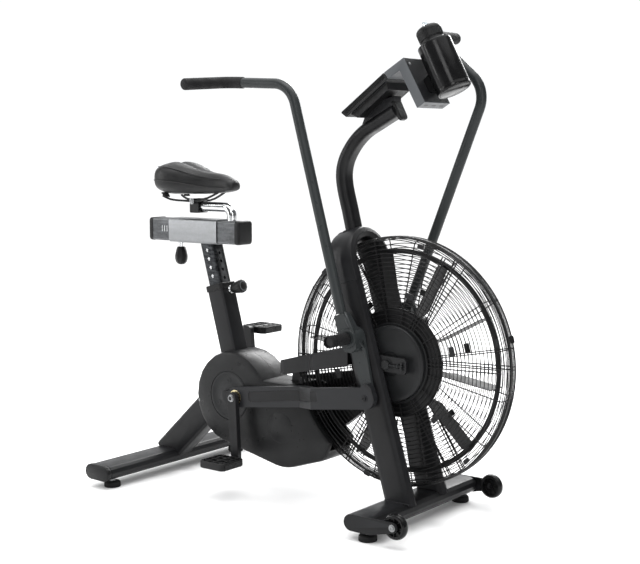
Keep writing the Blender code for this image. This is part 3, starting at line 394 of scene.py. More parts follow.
LOOKS = {
    "powder": (painted("powder_coat", (0.0042, 0.0042, 0.0047), 0.36, (0.014, 0.0145, 0.016)), "powder_coat"),
    "guard": (painted("guard_paint", (0.0036, 0.0036, 0.0040), 0.34, (0.0062, 0.0062, 0.0066),
                      380.0, 0.00004),
              "powder_coat"),
    "arm": (painted("arm_paint", (0.0115, 0.0135, 0.0140), 0.32, (0.030, 0.033, 0.034)), "arm_paint"),
    "plastic": (moulded("black_plastic", (0.0048, 0.0049, 0.0052), 0.38, 1500.0, 0.00010), "black_plastic"),
    "cover": (moulded("cover_plastic", (0.0056, 0.0058, 0.0062), 0.32, 1100.0, 0.00012), "black_plastic"),
    "disc": (moulded("disc_plastic", (0.0078, 0.0082, 0.0088), 0.40, 1300.0, 0.00012), "black_plastic"),
    "gloss": (moulded("gloss_black", (0.0032, 0.0032, 0.0035), 0.17, 500.0, 0.00002), "gloss_black"),
    "fan": (moulded("fan_plastic", (0.0040, 0.0040, 0.0044), 0.45, 900.0, 0.00010), "black_plastic"),
    "rubber": (rubbery("rubber", (0.0052, 0.0052, 0.0055)), "rubber"),
    "foam": (rubbery("grip_rubber", (0.0048, 0.0048, 0.0052), 300.0), "rubber"),
    "vinyl": (leathery("vinyl", (0.0052, 0.0052, 0.0055)), "vinyl"),
    "chrome": (polished("chrome", (0.78, 0.79, 0.80), 0.10), "chrome"),
    "steel": (polished("bolt_steel", (0.30, 0.305, 0.31), 0.30), "zinc_steel"),
    "zinc": (galvanised("mottled_zinc", (0.008, 0.0085, 0.0095), (0.060, 0.063, 0.067)), "zinc_steel"),
    "brass": (polished("bearing_brass", (0.62, 0.54, 0.33), 0.24), "brass"),
    "grey": (painted("bracket_grey", (0.034, 0.037, 0.041), 0.34, (0.090, 0.095, 0.10)), "grey_metal"),
    "louvre": (moulded("louvre_grey", (0.27, 0.275, 0.285), 0.42, 1200.0, 0.00010), "black_plastic"),
    "display": (moulded("display_window", (0.030, 0.036, 0.034), 0.10, 700.0, 0.00001), "display"),
    "key": (moulded("key_grey", (0.16, 0.165, 0.17), 0.50, 1000.0, 0.00008), "display"),
    "stitch": (rubbery("thread", (0.036, 0.036, 0.038)), "vinyl"),
    "mark": (moulded("pale_mark", (0.55, 0.56, 0.57), 0.55, 900.0, 0.00004), "chrome"),
    "clear": (clear_plastic("clear_nozzle"), "gloss_black"),
}


# ---- pieces -----------------------------------------------------------------------

def finished(obj, look, body, nodes=(), bevel=0.0, angle=34.0, segments=2):
    """Smooth shading, rounded edges, a material, and a body to ride on."""
    material, slot = LOOKS[look]
    obj.data.materials.clear()
    obj.data.materials.append(material)
    obj.data.shade_smooth()
    obj.data.set_sharp_from_angle(angle=math.radians(angle))
    if bevel:
        rounding = obj.modifiers.new("rounding", "BEVEL")
        rounding.width = bevel
        rounding.segments = segments
        rounding.limit_method = "ANGLE"
        rounding.angle_limit = math.radians(angle)
        rounding.harden_normals = True
        rounding.use_clamp_overlap = True
    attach(obj, body)
    if nodes:
        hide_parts(*nodes)
    return obj


def joined(name, shapes):
    """An object whose one mesh holds every shape."""
    points = []
    faces = []
    for shape_points, shape_faces in shapes:
        start = len(points)
        points += [tuple(p) for p in shape_points]
        faces += [tuple(start + i for i in face) for face in shape_faces]
    mesh = bpy.data.meshes.new(name)
    mesh.from_pydata(points, [], faces)
    shell = bmesh.new()
    shell.from_mesh(mesh)
    bmesh.ops.remove_doubles(shell, verts=shell.verts, dist=2e-6)
    bmesh.ops.recalc_face_normals(shell, faces=shell.faces)
    shell.to_mesh(mesh)
    shell.free()
    obj = bpy.data.objects.new(name, mesh)
    bpy.context.scene.collection.objects.link(obj)
    return obj


def piece(name, look, body, shapes, nodes=(), bevel=0.0, angle=34.0):
    """One shown piece: every shape joined in a single mesh."""
    return finished(joined(name, shapes), look, body, nodes, bevel, angle)


def carved(obj, shapes):
    """The piece with shapes cut out of it, before its edges are rounded."""
    cutter = joined("cutter", shapes)
    groove = obj.modifiers.new("groove", "BOOLEAN")
    groove.operation = "DIFFERENCE"
    groove.solver = "EXACT"
    groove.object = cutter
    obj.modifiers.move(len(obj.modifiers) - 1, 0)
    graph = bpy.context.evaluated_depsgraph_get()
    mesh = bpy.data.meshes.new_from_object(obj.evaluated_get(graph))
    obj.modifiers.clear()
    obj.data = mesh
    bpy.data.objects.remove(cutter)


def refined(node, look, bevel=0.0012, angle=28.0, segments=2):
    """A CAD node's own shape with its facets cleaned up and its edges rounded."""
    mesh = frame["nodes"][node].data.copy()
    shell = bmesh.new()
    shell.from_mesh(mesh)
    bmesh.ops.remove_doubles(shell, verts=shell.verts, dist=1e-5)
    bmesh.ops.dissolve_limit(shell, angle_limit=math.radians(1.5), verts=shell.verts, edges=shell.edges)
    bmesh.ops.recalc_face_normals(shell, faces=shell.faces)
    shell.to_mesh(mesh)
    shell.free()
    if mesh.has_custom_normals:
        mesh.attributes.remove(mesh.attributes["custom_normal"])
    obj = bpy.data.objects.new(node + "_finished", mesh)
    bpy.context.scene.collection.objects.link(obj)
    return finished(obj, look, BODY_OF[node], [node], bevel, angle, segments)


# ---- fan and cage -----------------------------------------------------------------

FIRST_WIRE = 0.107
LAST_WIRE = 0.3185
WIRE_PITCH = 0.0113
RIM_RADIUS = 0.3235
CAGE_FACE = {"right": -0.0425, "left": 0.0315}
CAGE_SEAM = {"right": -0.0070, "left": -0.0030}


def on_fan(radius, angle, y):
    return FAN + Vector((radius * math.cos(angle), y, radius * math.sin(angle)))


def cage_rings(face, seam):
    """(radius, y, wire radius) of each ring, from the hub out to the seam."""
    rings = []
    radius = FIRST_WIRE
    while radius < LAST_WIRE:
        rings.append((radius, face, 0.00115))
        radius += WIRE_PITCH
    steps = 6
    for k in range(steps + 1):
        share = k / steps
        rings.append((RIM_RADIUS + 0.0070 * math.sin(math.pi / 2 * min(1.0, share * 2.2)),
                      face + (seam - face) * (0.12 + 0.88 * share), 0.00125))
    return rings


def make_cage(name, side):
    """One wire cage half: rings, ribs that bend over the rim, flange, clips and hub."""
    face = CAGE_FACE[name]
    seam = CAGE_SEAM[name]
    wires = [hoop(FAN + Y_AXIS * y, radius, circle(thick, 6), 120)
             for radius, y, thick in cage_rings(face, seam)]
    flange = rounded_rectangle(0.0050, 0.0042, 0.0012, 2)
    wires.append(hoop(FAN + Y_AXIS * (seam + side * 0.0002), 0.3298, flange, 120))
    inside = face - side * 0.0021
    ribs = 16
    for k in range(ribs):
        angle = 2 * math.pi * (k + 0.5) / ribs
        hub = 0.096 if side < 0 else 0.056
        wires.append(tube([on_fan(hub, angle, inside), on_fan(0.316, angle, inside)], circle(0.0016, 6)))
        corners = [on_fan(0.3155, angle, inside), on_fan(0.3235, angle, inside - side * 0.001),
                   on_fan(0.3283, angle, inside * 0.72 + seam * 0.28), on_fan(0.3285, angle, seam)]
        wires.append(tube(smooth(corners, 4), circle(0.0016, 6)))
    pair = 0.0045
    for k in range(6):
        angle = 2 * math.pi * k / 6 + math.radians(2)
        for shift in (-pair, pair):
            start = on_fan(0.098 if side < 0 else 0.060, angle + shift / 0.1, inside)
            wires.append(tube([start, on_fan(0.322, angle + shift / 0.33, inside)], circle(0.0018, 6)))
    piece(f"cage_wires_{name}", "guard", "frame", wires, [f"guard_{name}"], angle=50)
    clips = []
    for k in range(6):
        angle = 2 * math.pi * (k + 0.25) / 6
        out = Vector((math.cos(angle), 0, math.sin(angle)))
        along = Vector((-math.sin(angle), 0, math.cos(angle)))
        for radius, width, length in ((0.1855, 0.016, 0.026), (0.3205, 0.012, 0.020)):
            plate = slab(rounded_rectangle(width, length, 0.003, 3), -0.0009, 0.0009, "Z")
            clips.append(placed(plate, on_fan(radius, angle, face + side * 0.0004), out, along, Y_AXIS))
            clips += bolt(on_fan(radius, angle, face + side * 0.0012), Y_AXIS * side, 0.0022, 0.0016, False)
    piece(f"cage_clips_{name}", "powder", "frame", clips, bevel=0.0004)


def make_hub_plate():
    """The right cage's dished plate, with its pressed rings, and the left cage's ring."""
    plate = [(0.0098, 0.0532), (0.0098, 0.0555), (0.018, 0.0555), (0.020, 0.0540), (0.030, 0.0540),
             (0.032, 0.0552), (0.086, 0.0552), (0.088, 0.0558), (0.0945, 0.0558), (0.0985, 0.0548),
             (0.1005, 0.0520), (0.1010, 0.0412), (0.0980, 0.0412), (0.0975, 0.0510), (0.0940, 0.0532)]
    plate.append(plate[0])
    shapes = [lathe(plate, FAN, -Y_AXIS, 96)]
    for radius in (0.1030, 0.1048):
        shapes.append(hoop(FAN - Y_AXIS * 0.0425, radius, 0.0013, 96))
    piece("hub_plate", "disc", "frame", shapes, angle=30)
    ring = [(0.0188, 0.0295), (0.0188, 0.0326), (0.024, 0.0330), (0.058, 0.0330), (0.0615, 0.0318),
            (0.0618, 0.0295)]
    ring.append(ring[0])
    piece("left_hub_ring", "disc", "frame", [lathe(ring, FAN, Y_AXIS, 72)], angle=30)


def make_rotor():
    """The fan: a ribbed drum, ten vanes with folded roots and tips, and the hoop that ties them."""
    drum = [(0.0095, -0.0369), (0.030, -0.0369), (0.034, -0.0360), (0.060, -0.0358), (0.062, -0.0366),
            (0.104, -0.0360), (0.108, -0.0346), (0.1435, -0.0340), (0.1449, -0.0330), (0.1449, -0.0316),
            (0.040, -0.0334), (0.0160, -0.0334), (0.0160, 0.0394), (0.0268, 0.0396), (0.0268, 0.0524),
            (0.0095, 0.0524)]
    drum.append(drum[0])
    shapes = [lathe(drum, FAN, Y_AXIS, 96),
              hoop(FAN, 0.2920, rounded_rectangle(0.0136, 0.0038, 0.0012, 2), 120)]
    for radius in (0.1175, 0.1290, 0.1405):
        shapes.append(hoop(FAN - Y_AXIS * 0.0345, radius, circle(0.0012, 6), 96))
    blades = 10
    for k in range(blades):
        angle = 2 * math.pi * k / blades + math.radians(28)
        out = Vector((math.cos(angle), 0, math.sin(angle)))
        over = Vector((-math.sin(angle), 0, math.cos(angle)))
        vane = [(0.110, -0.0332), (0.288, -0.0332), (0.2905, -0.0300), (0.2905, 0.0225), (0.286, 0.0258),
                (0.150, 0.0258), (0.118, -0.0100), (0.110, -0.0200)]
        shapes.append(placed(slab(vane, -0.0010, 0.0010, "Z"), FAN, out, Y_AXIS, over))
        foot = [(0.112, -0.0010), (0.141, -0.0010), (0.141, 0.010), (0.112, 0.010)]
        shapes.append(placed(slab(foot, -0.0332, -0.0316, "Z"), FAN, out, over, Y_AXIS))
        for radius in (0.118, 0.134):
            shapes.append(lathe([(0, 0), (0.0026, 0), (0.0020, 0.0012), (0, 0.0013)],
                                FAN + out * radius + over * 0.006 - Y_AXIS * 0.0316, Y_AXIS, 12))
    piece("rotor", "fan", "fan", shapes, ["fan_rotor"], angle=34)


# ---- arms, grips and pegs ---------------------------------------------------------

def swing(side):
    """The turn that takes an upright arm to its rest position."""
    here = Matrix.Translation(PIVOT)
    return here @ Matrix.Rotation(side * ARM_SWING, 4, "Y") @ here.inverted()


def swung(shapes, side):
    turn = swing(side)
    return [([turn @ Vector(p) for p in points], faces) for points, faces in shapes]


ARM_Y = 0.128
SEAM = PIVOT + Vector((-0.008, 0.0, 0.066))
ELBOW = PIVOT + Vector((0.0256, 0.0, 0.687))
CORNER = PIVOT + Vector((-0.179, 0.0, 0.768))
GRIP_END = PIVOT + Vector((-0.201, 0.0, 0.765))
GRIP_REACH = 0.151
GRIP_START = CORNER + (ELBOW - CORNER).normalized() * 0.055
ARM_RADIUS = 0.0138
GRIP_RADIUS = 0.0158


def make_arm(name, side):
    body = f"{name}_arm"
    across = Y_AXIS * side * ARM_Y
    up = (ELBOW - SEAM).normalized()
    route = bent([SEAM + up * 0.0015 + across, ELBOW + across, GRIP_START + across], [0.075], 16)
    rod = tube(route, circle(ARM_RADIUS, 28), up=Y_AXIS)
    weld = hoop(SEAM + up * 0.003 + across, ARM_RADIUS - 0.0003, circle(0.0012, 8), 40, up)
    collar = hoop(route[-1], ARM_RADIUS - 0.0002, circle(0.0005, 8), 40, (route[-1] - route[-2]).normalized())
    piece(f"arm_tube_{name}", "arm", body, swung([rod, weld, collar], side), [f"handlebar_{name}"])
    start = GRIP_START + (CORNER - ELBOW).normalized() * 0.0004
    end = GRIP_END + Y_AXIS * side * (ARM_Y + GRIP_REACH)
    route = bent([start + across, CORNER + across, end], [0.040], 12)
    route.insert(1, route[0] + (route[1] - route[0]).normalized() * 0.0016)
    scale = [0.93] + [1.0] * (len(route) - 1)
    foam = tube(route, circle(GRIP_RADIUS, 28), scale=scale, up=Z_AXIS)
    tip = (route[-1] - route[-2]).normalized()
    dome = [(0, -0.006), (GRIP_RADIUS * 0.998, -0.006)]
    dome += [(GRIP_RADIUS * math.cos(a) ** 0.7, 0.0078 * math.sin(a))
             for a in (0.0, 0.3, 0.6, 0.9, 1.2, 1.45)]
    dome.append((0, 0.0079))
    shapes = [foam, lathe(dome, route[-1], tip, 28)]
    for distance in (0.010, 0.030):
        shapes.append(hoop(route[-1] - tip * distance, GRIP_RADIUS - 0.0004, circle(0.0006, 6), 40, tip))
    piece(f"grip_{name}_rubber", "foam", body, swung(shapes, side), [f"grip_{name}"])
    make_peg(name, side)


def make_lever(name, side):
    """The casting: socket, hub, the plate down to the link, and a rib along its front edge."""
    def flat(points):
        return [(PIVOT.x + x, PIVOT.z + z) for x, z in points]

    ring = [(-0.0235, 0.066), (0.0075, 0.066), (0.0150, 0.042), (0.0225, 0.014), (0.0250, -0.010),
            (0.0190, -0.032), (0.0, -0.0395), (-0.0190, -0.032), (-0.0262, -0.010), (-0.0258, 0.014),
            (-0.0245, 0.042)]
    block = slab(flat(ring)[::-1], *sorted((side * 0.1125, side * 0.1415)))
    end = Vector((-0.0085, 0.0, -0.1618))
    hub_radius = 0.0265
    end_radius = 0.0155
    upper = [(hub_radius * math.cos(a), hub_radius * math.sin(a))
             for a in (math.pi * k / 12 for k in range(13))]
    lower = [(end.x - end_radius * math.cos(a), end.z - end_radius * math.sin(a))
             for a in (math.pi * k / 8 for k in range(9))]
    plate = slab(flat(upper + lower), *sorted((side * 0.0972, side * 0.1063)))
    hub = [(0.0128, 0.0972), (hub_radius, 0.0972), (hub_radius, 0.1440), (0.0250, 0.1462), (0.0150, 0.1464),
           (0.0128, 0.1450)]
    hub.append(hub[0])
    rib = [(0.0040, 0.064, 0.1280), (0.0125, 0.048, 0.1360), (0.0190, 0.024, 0.1385), (0.0205, 0.0, 0.1365),
           (0.0178, -0.022, 0.1170), (0.0165, -0.036, 0.1050), (0.0140, -0.066, 0.1015),
           (0.0120, -0.090, 0.1014), (0.0075, -0.128, 0.1014)]
    route = smooth([PIVOT + Vector((x, side * y, z)) for x, z, y in rib], 5)
    thick = [0.0072 - 0.0034 * k / (len(route) - 1) for k in range(len(route))]
    edge = tube(route, circle(1.0, 12), scale=thick)
    shapes = [block, plate, lathe(hub, PIVOT, Y_AXIS * side, 48), edge]
    piece(f"lever_{name}_casting", "arm", f"{name}_arm", swung(shapes, side), [f"lever_{name}"],
          bevel=0.0030, angle=38)


def make_peg(name, side):
    """A foot peg: a rubber sleeve with rings round it on an open stub."""
    profile = [(0.01245, 0.1477), (0.0154, 0.1477), (0.0158, 0.1486)]
    grooves = 8
    for k in range(grooves):
        start = 0.153 + 0.0068 * k
        profile += [(0.0158, start), (0.0147, start + 0.0006), (0.0147, start + 0.0020),
                    (0.0158, start + 0.0026)]
    profile += [(0.0158, 0.2095), (0.0160, 0.2100), (0.0160, 0.2215), (0.0152, 0.2235), (0.01245, 0.2235)]
    profile.append(profile[0])
    origin = Vector((PIVOT.x, 0.0, PIVOT.z))
    piece(f"peg_{name}_sleeve", "rubber", BODY_OF[f"peg_{name}"], [lathe(profile, origin, Y_AXIS * side, 40)],
          [f"peg_{name}"], angle=40)


# ---- covers and drive -------------------------------------------------------------

COVER_FACE = 0.060


def make_cover(name, side):
    """The moulded belt cover with its round shoulder, shallow dome and screws."""
    refined(f"belt_cover_{name}", "cover", 0.0022, 24.0, 3)
    dome = [(0.0, 0.0052), (0.012, 0.0049), (0.024, 0.0038), (0.034, 0.0022), (0.0405, 0.0010),
            (0.0440, 0.0002), (0.0460, -0.0006), (0.0465, -0.0022)]
    boss = lathe([(radius, COVER_FACE + height) for radius, height in dome], IDLER + Z_AXIS * 0.006,
                 Y_AXIS * side, 72)
    shoulder = []
    for k in range(2):
        middle = CRANK + Y_AXIS * side * (COVER_FACE - 0.0007)
        shoulder.append(hoop(middle, 0.0745 + 0.0040 * k, circle(0.00065, 6), 96))
    shapes = [boss, *shoulder]
    piece(f"cover_trim_{name}", "cover", "frame", shapes, angle=30)
    screws = []
    for x, z in ((-0.231, 0.378), (-0.402, 0.239)):
        place = Vector((x, side * (COVER_FACE - 0.0035), z))
        toward = (CRANK - place) * Vector((1, 0, 1))
        place += toward.normalized() * 0.012 + Y_AXIS * side * 0.0026
        screws += bolt(place, Y_AXIS * side, 0.0032, 0.0009, False)
    piece(f"cover_screws_{name}", "steel", "frame", screws, bevel=0.0002)


def make_crank_cover(name, side):
    """The round cover: a raised rim, a recessed band, a dished middle and screw holes."""
    profile = [(0.0192, 0.0566), (0.0192, 0.0594), (0.0215, 0.0598), (0.030, 0.0598), (0.0315, 0.0590),
               (0.0605, 0.0590), (0.0625, 0.0599), (0.0690, 0.0599), (0.0705, 0.0594), (0.0711, 0.0584),
               (0.0711, 0.0566)]
    profile.append(profile[0])
    shapes = [lathe(profile, CRANK, Y_AXIS * side, 96)]
    for k in range(3):
        angle = math.radians(90 + 120 * k)
        place = CRANK + Vector((math.cos(angle), 0, math.sin(angle))) * 0.046 + Y_AXIS * side * 0.0588
        shapes.append(lathe([(0.0, 0.0), (0.0074, 0.0), (0.0070, 0.0007), (0.0045, 0.0007),
                             (0.0042, 0.0001), (0.0, 0.0)],
                            place, Y_AXIS * side, 28))
    piece(f"crank_disc_{name}", "disc", "frame", shapes, [f"crank_cover_{name}"], angle=30)


def pin_of(name):
    return centre(f"link_bearing_{name}") * Vector((1, 0, 1))


def make_crank(name, side):
    """The crank arm and its bolt, the link with its long slot, and the bearing between them."""
    refined(f"crank_arm_{name}", "powder", 0.0030, 30.0, 3)
    bar = refined(f"link_{name}", "powder", 0.0022, 24.0, 3)
    pin = pin_of(name)
    cap = [(0.0, 0.1098), (0.0105, 0.1098), (0.0105, 0.1106), (0.0088, 0.1108), (0.0088, 0.1132),
           (0.0078, 0.1139), (0.0046, 0.1139), (0.0042, 0.1120), (0.0, 0.1119)]
    piece(f"crank_bolt_{name}", "steel", "crank", [lathe(cap, pin, Y_AXIS * side, 40)], angle=30)
    race = [(0.0096, 0.0740), (0.0096, 0.0922), (0.0118, 0.0924), (0.0122, 0.0916), (0.0180, 0.0916),
            (0.0184, 0.0924), (0.0209, 0.0922), (0.0209, 0.0740)]
    race.append(race[0])
    piece(f"bearing_{name}", "brass", f"{name}_link", [lathe(race, pin, Y_AXIS * side, 56)],
          [f"link_bearing_{name}"], angle=30)
    slope = ((centre(f"link_{name}") - pin) * Vector((1, 0, 1))).normalized()
    route = [pin + slope * ahead + Y_AXIS * side * across for ahead, across in
             ((0.050, 0.0916), (0.056, 0.0916), (0.236, 0.0916), (0.299, 0.1256), (0.322, 0.1256),
              (0.328, 0.1256))]
    slot = tube(route, rounded_rectangle(0.0034, 0.030, 0.0016, 4), scale=[0.6, 1.0, 1.0, 1.0, 1.0, 0.6],
                up=Z_AXIS)
    carved(bar, [slot])
    nose = Vector((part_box(f"link_{name}")[1].x - 0.0295, 0.0, 0.0))
    rise = 0.129 if side < 0 else 0.172
    nose.z = pin.z + (nose.x - pin.x) * rise
    piece(f"link_bolt_{name}", "powder", f"{name}_link",
          bolt(nose + Y_AXIS * side * 0.1257, Y_AXIS * side, 0.0062, 0.0042), bevel=0.0004)


def make_pedal(name, side):
    """A resin pedal: a rounded cage with toothed rims, cross bars, a spindle barrel and reflectors."""
    low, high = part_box(f"pedal_{name}")
    middle = (low + high) / 2
    inner = 0.1185
    outer = 0.2115
    half = 0.0455
    span = outer - inner
    plan = rounded_rectangle(2 * half, span, 0.013, 6)
    across = (inner + outer) / 2
    rim = []
    for inset_by, z in ((0.0018, -0.0104), (0.0, -0.0088), (0.0, 0.0088), (0.0018, 0.0104)):
        grow = [(a * (1 - inset_by / half), b * (1 - inset_by / (span / 2))) for a, b in plan]
        rim.append([Vector((middle.x + a, side * across + b, middle.z + z)) for a, b in grow])
    hollow = [(a * 0.845, b * 0.870) for a, b in plan]
    inside = [[Vector((middle.x + a, side * across + b, middle.z + z)) for a, b in hollow]
              for z in (0.0104, -0.0104)]
    points, faces = loft([*rim, *inside, rim[0]])
    barrel = [(0, 0.1105), (0.0066, 0.1105), (0.0066, 0.1200), (0.0100, 0.1205), (0.0100, 0.2060),
              (0, 0.2060)]
    shapes = [(points, faces[:-2]), lathe(barrel, middle * Vector((1, 0, 1)), Y_AXIS * side, 24)]
    long_bar = rounded_rectangle(0.0055, span - 0.010, 0.002, 2)
    for x in (-0.0255, 0.0255):
        bar = slab(long_bar, middle.z - 0.0095, middle.z + 0.0095, "Z")
        shapes.append(([p + Vector((middle.x + x, side * across, 0)) for p in bar[0]], bar[1]))
    cross_bar = rounded_rectangle(2 * half - 0.010, 0.0050, 0.002, 2)
    for y in (-0.024, 0.0, 0.024):
        bar = slab(cross_bar, middle.z - 0.0090, middle.z + 0.0090, "Z")
        shapes.append(([p + Vector((middle.x, side * across + y, 0)) for p in bar[0]], bar[1]))
    teeth = 8
    for k in range(teeth):
        y = side * across + (k - (teeth - 1) / 2) * 0.0098
        for x in (-half + 0.0035, half - 0.0035):
            for z in (0.0100, -0.0100):
                shapes.append(lathe([(0, 0), (0.0021, 0), (0.0012, 0.0010), (0, 0.0010)],
                                    (middle.x + x, y, middle.z + z), Z_AXIS * math.copysign(1, z), 8))
    piece(f"pedal_{name}_cage", "plastic", f"{name}_pedal", shapes, [f"pedal_{name}"], bevel=0.0006)
    reflectors = []
    plate = slab(rounded_rectangle(0.030, 0.0095, 0.002, 3), -0.0006, 0.0004, "Z")
    for x in (-half - 0.0001, half + 0.0001):
        for y in (-0.022, 0.022):
            corner = (middle.x + x, side * across + y, middle.z)
            reflectors.append(placed(plate, corner, Y_AXIS, Z_AXIS, X_AXIS * math.copysign(1, x)))
    piece(f"pedal_{name}_reflectors", "gloss", f"{name}_pedal", reflectors, bevel=0.0002)


# ---- base -------------------------------------------------------------------------

def make_wheel(name, side):
    """A transport wheel: a crowned tyre, a dished hub with ribs, and its bolt."""
    low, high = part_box(f"wheel_{name}")
    middle = (low + high) / 2
    radius = (high.x - low.x) / 2
    half = (high.y - low.y) / 2
    profile = [(0.0046, -half * 0.62), (0.0100, -half * 0.70), (0.0105, -half * 0.42), (0.0225, -half * 0.42),
               (0.0235, -half * 0.92), (0.0275, -half * 0.98)]
    for k in range(7):
        angle = math.radians(-90 + 30 * k)
        profile.append((radius - 0.0055 + 0.0055 * math.cos(angle), half * 0.94 * math.sin(angle)))
    profile += [(0.0275, half * 0.98), (0.0235, half * 0.92), (0.0225, half * 0.42), (0.0105, half * 0.42),
                (0.0100, half * 0.70), (0.0046, half * 0.62)]
    profile.append(profile[0])
    shapes = [lathe(profile, middle, Y_AXIS, 64)]
    for k in range(8):
        angle = 2 * math.pi * k / 8
        out = Vector((math.cos(angle), 0, math.sin(angle)))
        over = Vector((-math.sin(angle), 0, math.cos(angle)))
        rib = slab([(0.0100, -0.0009), (0.0232, -0.0009), (0.0232, 0.0009), (0.0100, 0.0009)],
                   -half * 0.86, half * 0.86, "Z")
        shapes.append(placed(rib, middle, out, over, Y_AXIS))
    piece(f"wheel_{name}_tyre", "gloss", f"{name}_wheel", shapes, [f"wheel_{name}"], angle=32)
    screw = bolt(middle + Y_AXIS * side * 0.0178, Y_AXIS * side, 0.0062, 0.0040)
    piece(f"wheel_bolt_{name}", "steel", "frame", screw, bevel=0.0004)


def make_foot(node):
    """A levelling foot: ribbed rubber puck, steel collar and threaded stem."""
    low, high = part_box(node)
    middle = (low + high) / 2
    radius = (high.x - low.x) / 2
    top = high.z
    profile = [(0.0, 0.0), (radius - 0.0022, 0.0), (radius - 0.0004, 0.0016), (radius - 0.0002, 0.0050),
               (radius - 0.0014, 0.0058), (radius - 0.0014, 0.0070), (radius - 0.0004, 0.0078),
               (radius - 0.0010, 0.0130), (radius - 0.0040, min(0.0165, top - 0.001)),
               (0.0, min(0.0168, top - 0.0008))]
    base = Vector((middle.x, middle.y, low.z))
    piece(node + "_pad", "rubber", "frame", [lathe(profile, base, Z_AXIS, 48)], [node], angle=32)
    stem = [(0.0, 0.0160), (0.0095, 0.0160), (0.0095, top - 0.0012), (0.0080, top - 0.0002),
            (0.0, top - 0.0002)]
    piece(node + "_stem", "steel", "frame", [lathe(stem, base, Z_AXIS, 6)], bevel=0.0003)


# ---- seat -------------------------------------------------------------------------

SADDLE = [  # (x, half width, underside, top) from the tail to the nose
    (-0.5690, 0.040, 0.880, 0.908), (-0.5620, 0.064, 0.862, 0.925), (-0.5480, 0.079, 0.852, 0.935),
    (-0.5250, 0.087, 0.848, 0.9385), (-0.5000, 0.087, 0.848, 0.937), (-0.4700, 0.077, 0.849, 0.929),
    (-0.4350, 0.058, 0.850, 0.918), (-0.4000, 0.044, 0.851, 0.910), (-0.3650, 0.035, 0.853, 0.905),
    (-0.3300, 0.030, 0.856, 0.901), (-0.3050, 0.027, 0.859, 0.895), (-0.2940, 0.021, 0.862, 0.888),
    (-0.2900, 0.012, 0.867, 0.882),
]


def saddle_rows(rows):
    """The saddle's stations, spread evenly and smoothed."""
    route = smooth([(x, half, high) for x, half, _, high in SADDLE], rows)
    under = smooth([(x, half, low) for x, half, low, _ in SADDLE], rows)
    return [(top.x, top.y, low.z, top.z) for top, low in zip(route, under)]


def saddle_point(station, angle):
    """A point round a station: squared sides, a crowned top with a groove along it."""
    x, half, low, high = station
    across = math.copysign(abs(math.cos(angle)) ** 0.78, math.cos(angle))
    upward = math.copysign(abs(math.sin(angle)) ** 0.62, math.sin(angle))
    y = half * across
    z = (low + high) / 2 + (high - low) / 2 * upward
    if upward > 0:
        lobes = max(0.0, min(1.0, (-0.36 - x) / 0.10))
        z -= 0.0085 * lobes * math.exp(-(y / 0.0095) ** 2) * upward
        z -= 0.0060 * (1 - lobes) * (abs(across) ** 3)
    return Vector((x, y, z))


def stuffed(obj, push, frames):
    """Cloth under pressure swells the pad, with a limit on how far any point moves."""
    rest = [v.co.copy() for v in obj.data.vertices]
    cloth = obj.modifiers.new("stuffing", "CLOTH")
    cloth.settings.use_pressure = True
    cloth.settings.uniform_pressure_force = push
    cloth.settings.effector_weights.gravity = 0.0
    cloth.settings.quality = 4
    cloth.settings.mass = 0.25
    cloth.settings.tension_stiffness = 25.0
    cloth.settings.compression_stiffness = 25.0
    scene = bpy.context.scene
    for number in range(1, frames + 1):
        scene.frame_set(number)
    graph = bpy.context.evaluated_depsgraph_get()
    swollen = obj.evaluated_get(graph).to_mesh()
    moved = [v.co.copy() for v in swollen.vertices]
    obj.modifiers.remove(cloth)
    scene.frame_set(1)
    furthest = 0.0035
    for vertex, start, end in zip(obj.data.vertices, rest, moved):
        step = end - start
        vertex.co = start + step * min(1.0, furthest / max(step.length, 1e-9))


def make_saddle():
    """The pad, swollen by cloth pressure, then its piping, its stitches and its base."""
    rows = saddle_rows(6)
    sides = 56
    rings = [[saddle_point(station, 2 * math.pi * k / sides) for k in range(sides)] for station in rows]
    pad = piece("saddle_pad", "vinyl", "seat", [loft(rings)], ["saddle"], angle=60)
    remesh = pad.modifiers.new("even", "REMESH")
    remesh.mode = "VOXEL"
    remesh.voxel_size = 0.0042
    graph = bpy.context.evaluated_depsgraph_get()
    even = bpy.data.meshes.new_from_object(pad.evaluated_get(graph))
    pad.modifiers.remove(remesh)
    pad.data = even
    stuffed(pad, 4.0, 20)
    relax = pad.modifiers.new("relax", "SMOOTH")
    relax.factor = 0.5
    relax.iterations = 4
    soft = pad.modifiers.new("soft", "SUBSURF")
    soft.levels = soft.render_levels = 1
    pad.data.materials.clear()
    pad.data.materials.append(LOOKS["vinyl"][0])
    pad.data.shade_smooth()
    trim = []
    stitches = []
    for side in (-1, 1):
        seam = [saddle_point(s, math.pi / 2 - side * 0.93) + Vector((0, side * 0.0012, 0.0012))
                for s in rows[15:-19]]
        trim.append(tube(seam, circle(0.0011, 8)))
        low_edge = [saddle_point(s, 0.0 if side > 0 else math.pi) + Vector((0, side * 0.0008, -0.006))
                    for s in rows[12:-16]]
        trim.append(tube(low_edge, circle(0.0016, 8)))
        for before, after in zip(seam, seam[1:]):
            along = after - before
            for share in (0.15, 0.62):
                start = before + along * share + Vector((0, side * 0.0022, 0.0004))
                stitches.append(tube([start, start + along * 0.30], circle(0.00042, 5)))
    piece("saddle_piping", "vinyl", "seat", trim, angle=60)
    piece("saddle_stitches", "stitch", "seat", stitches, angle=60)
    make_saddle_base()


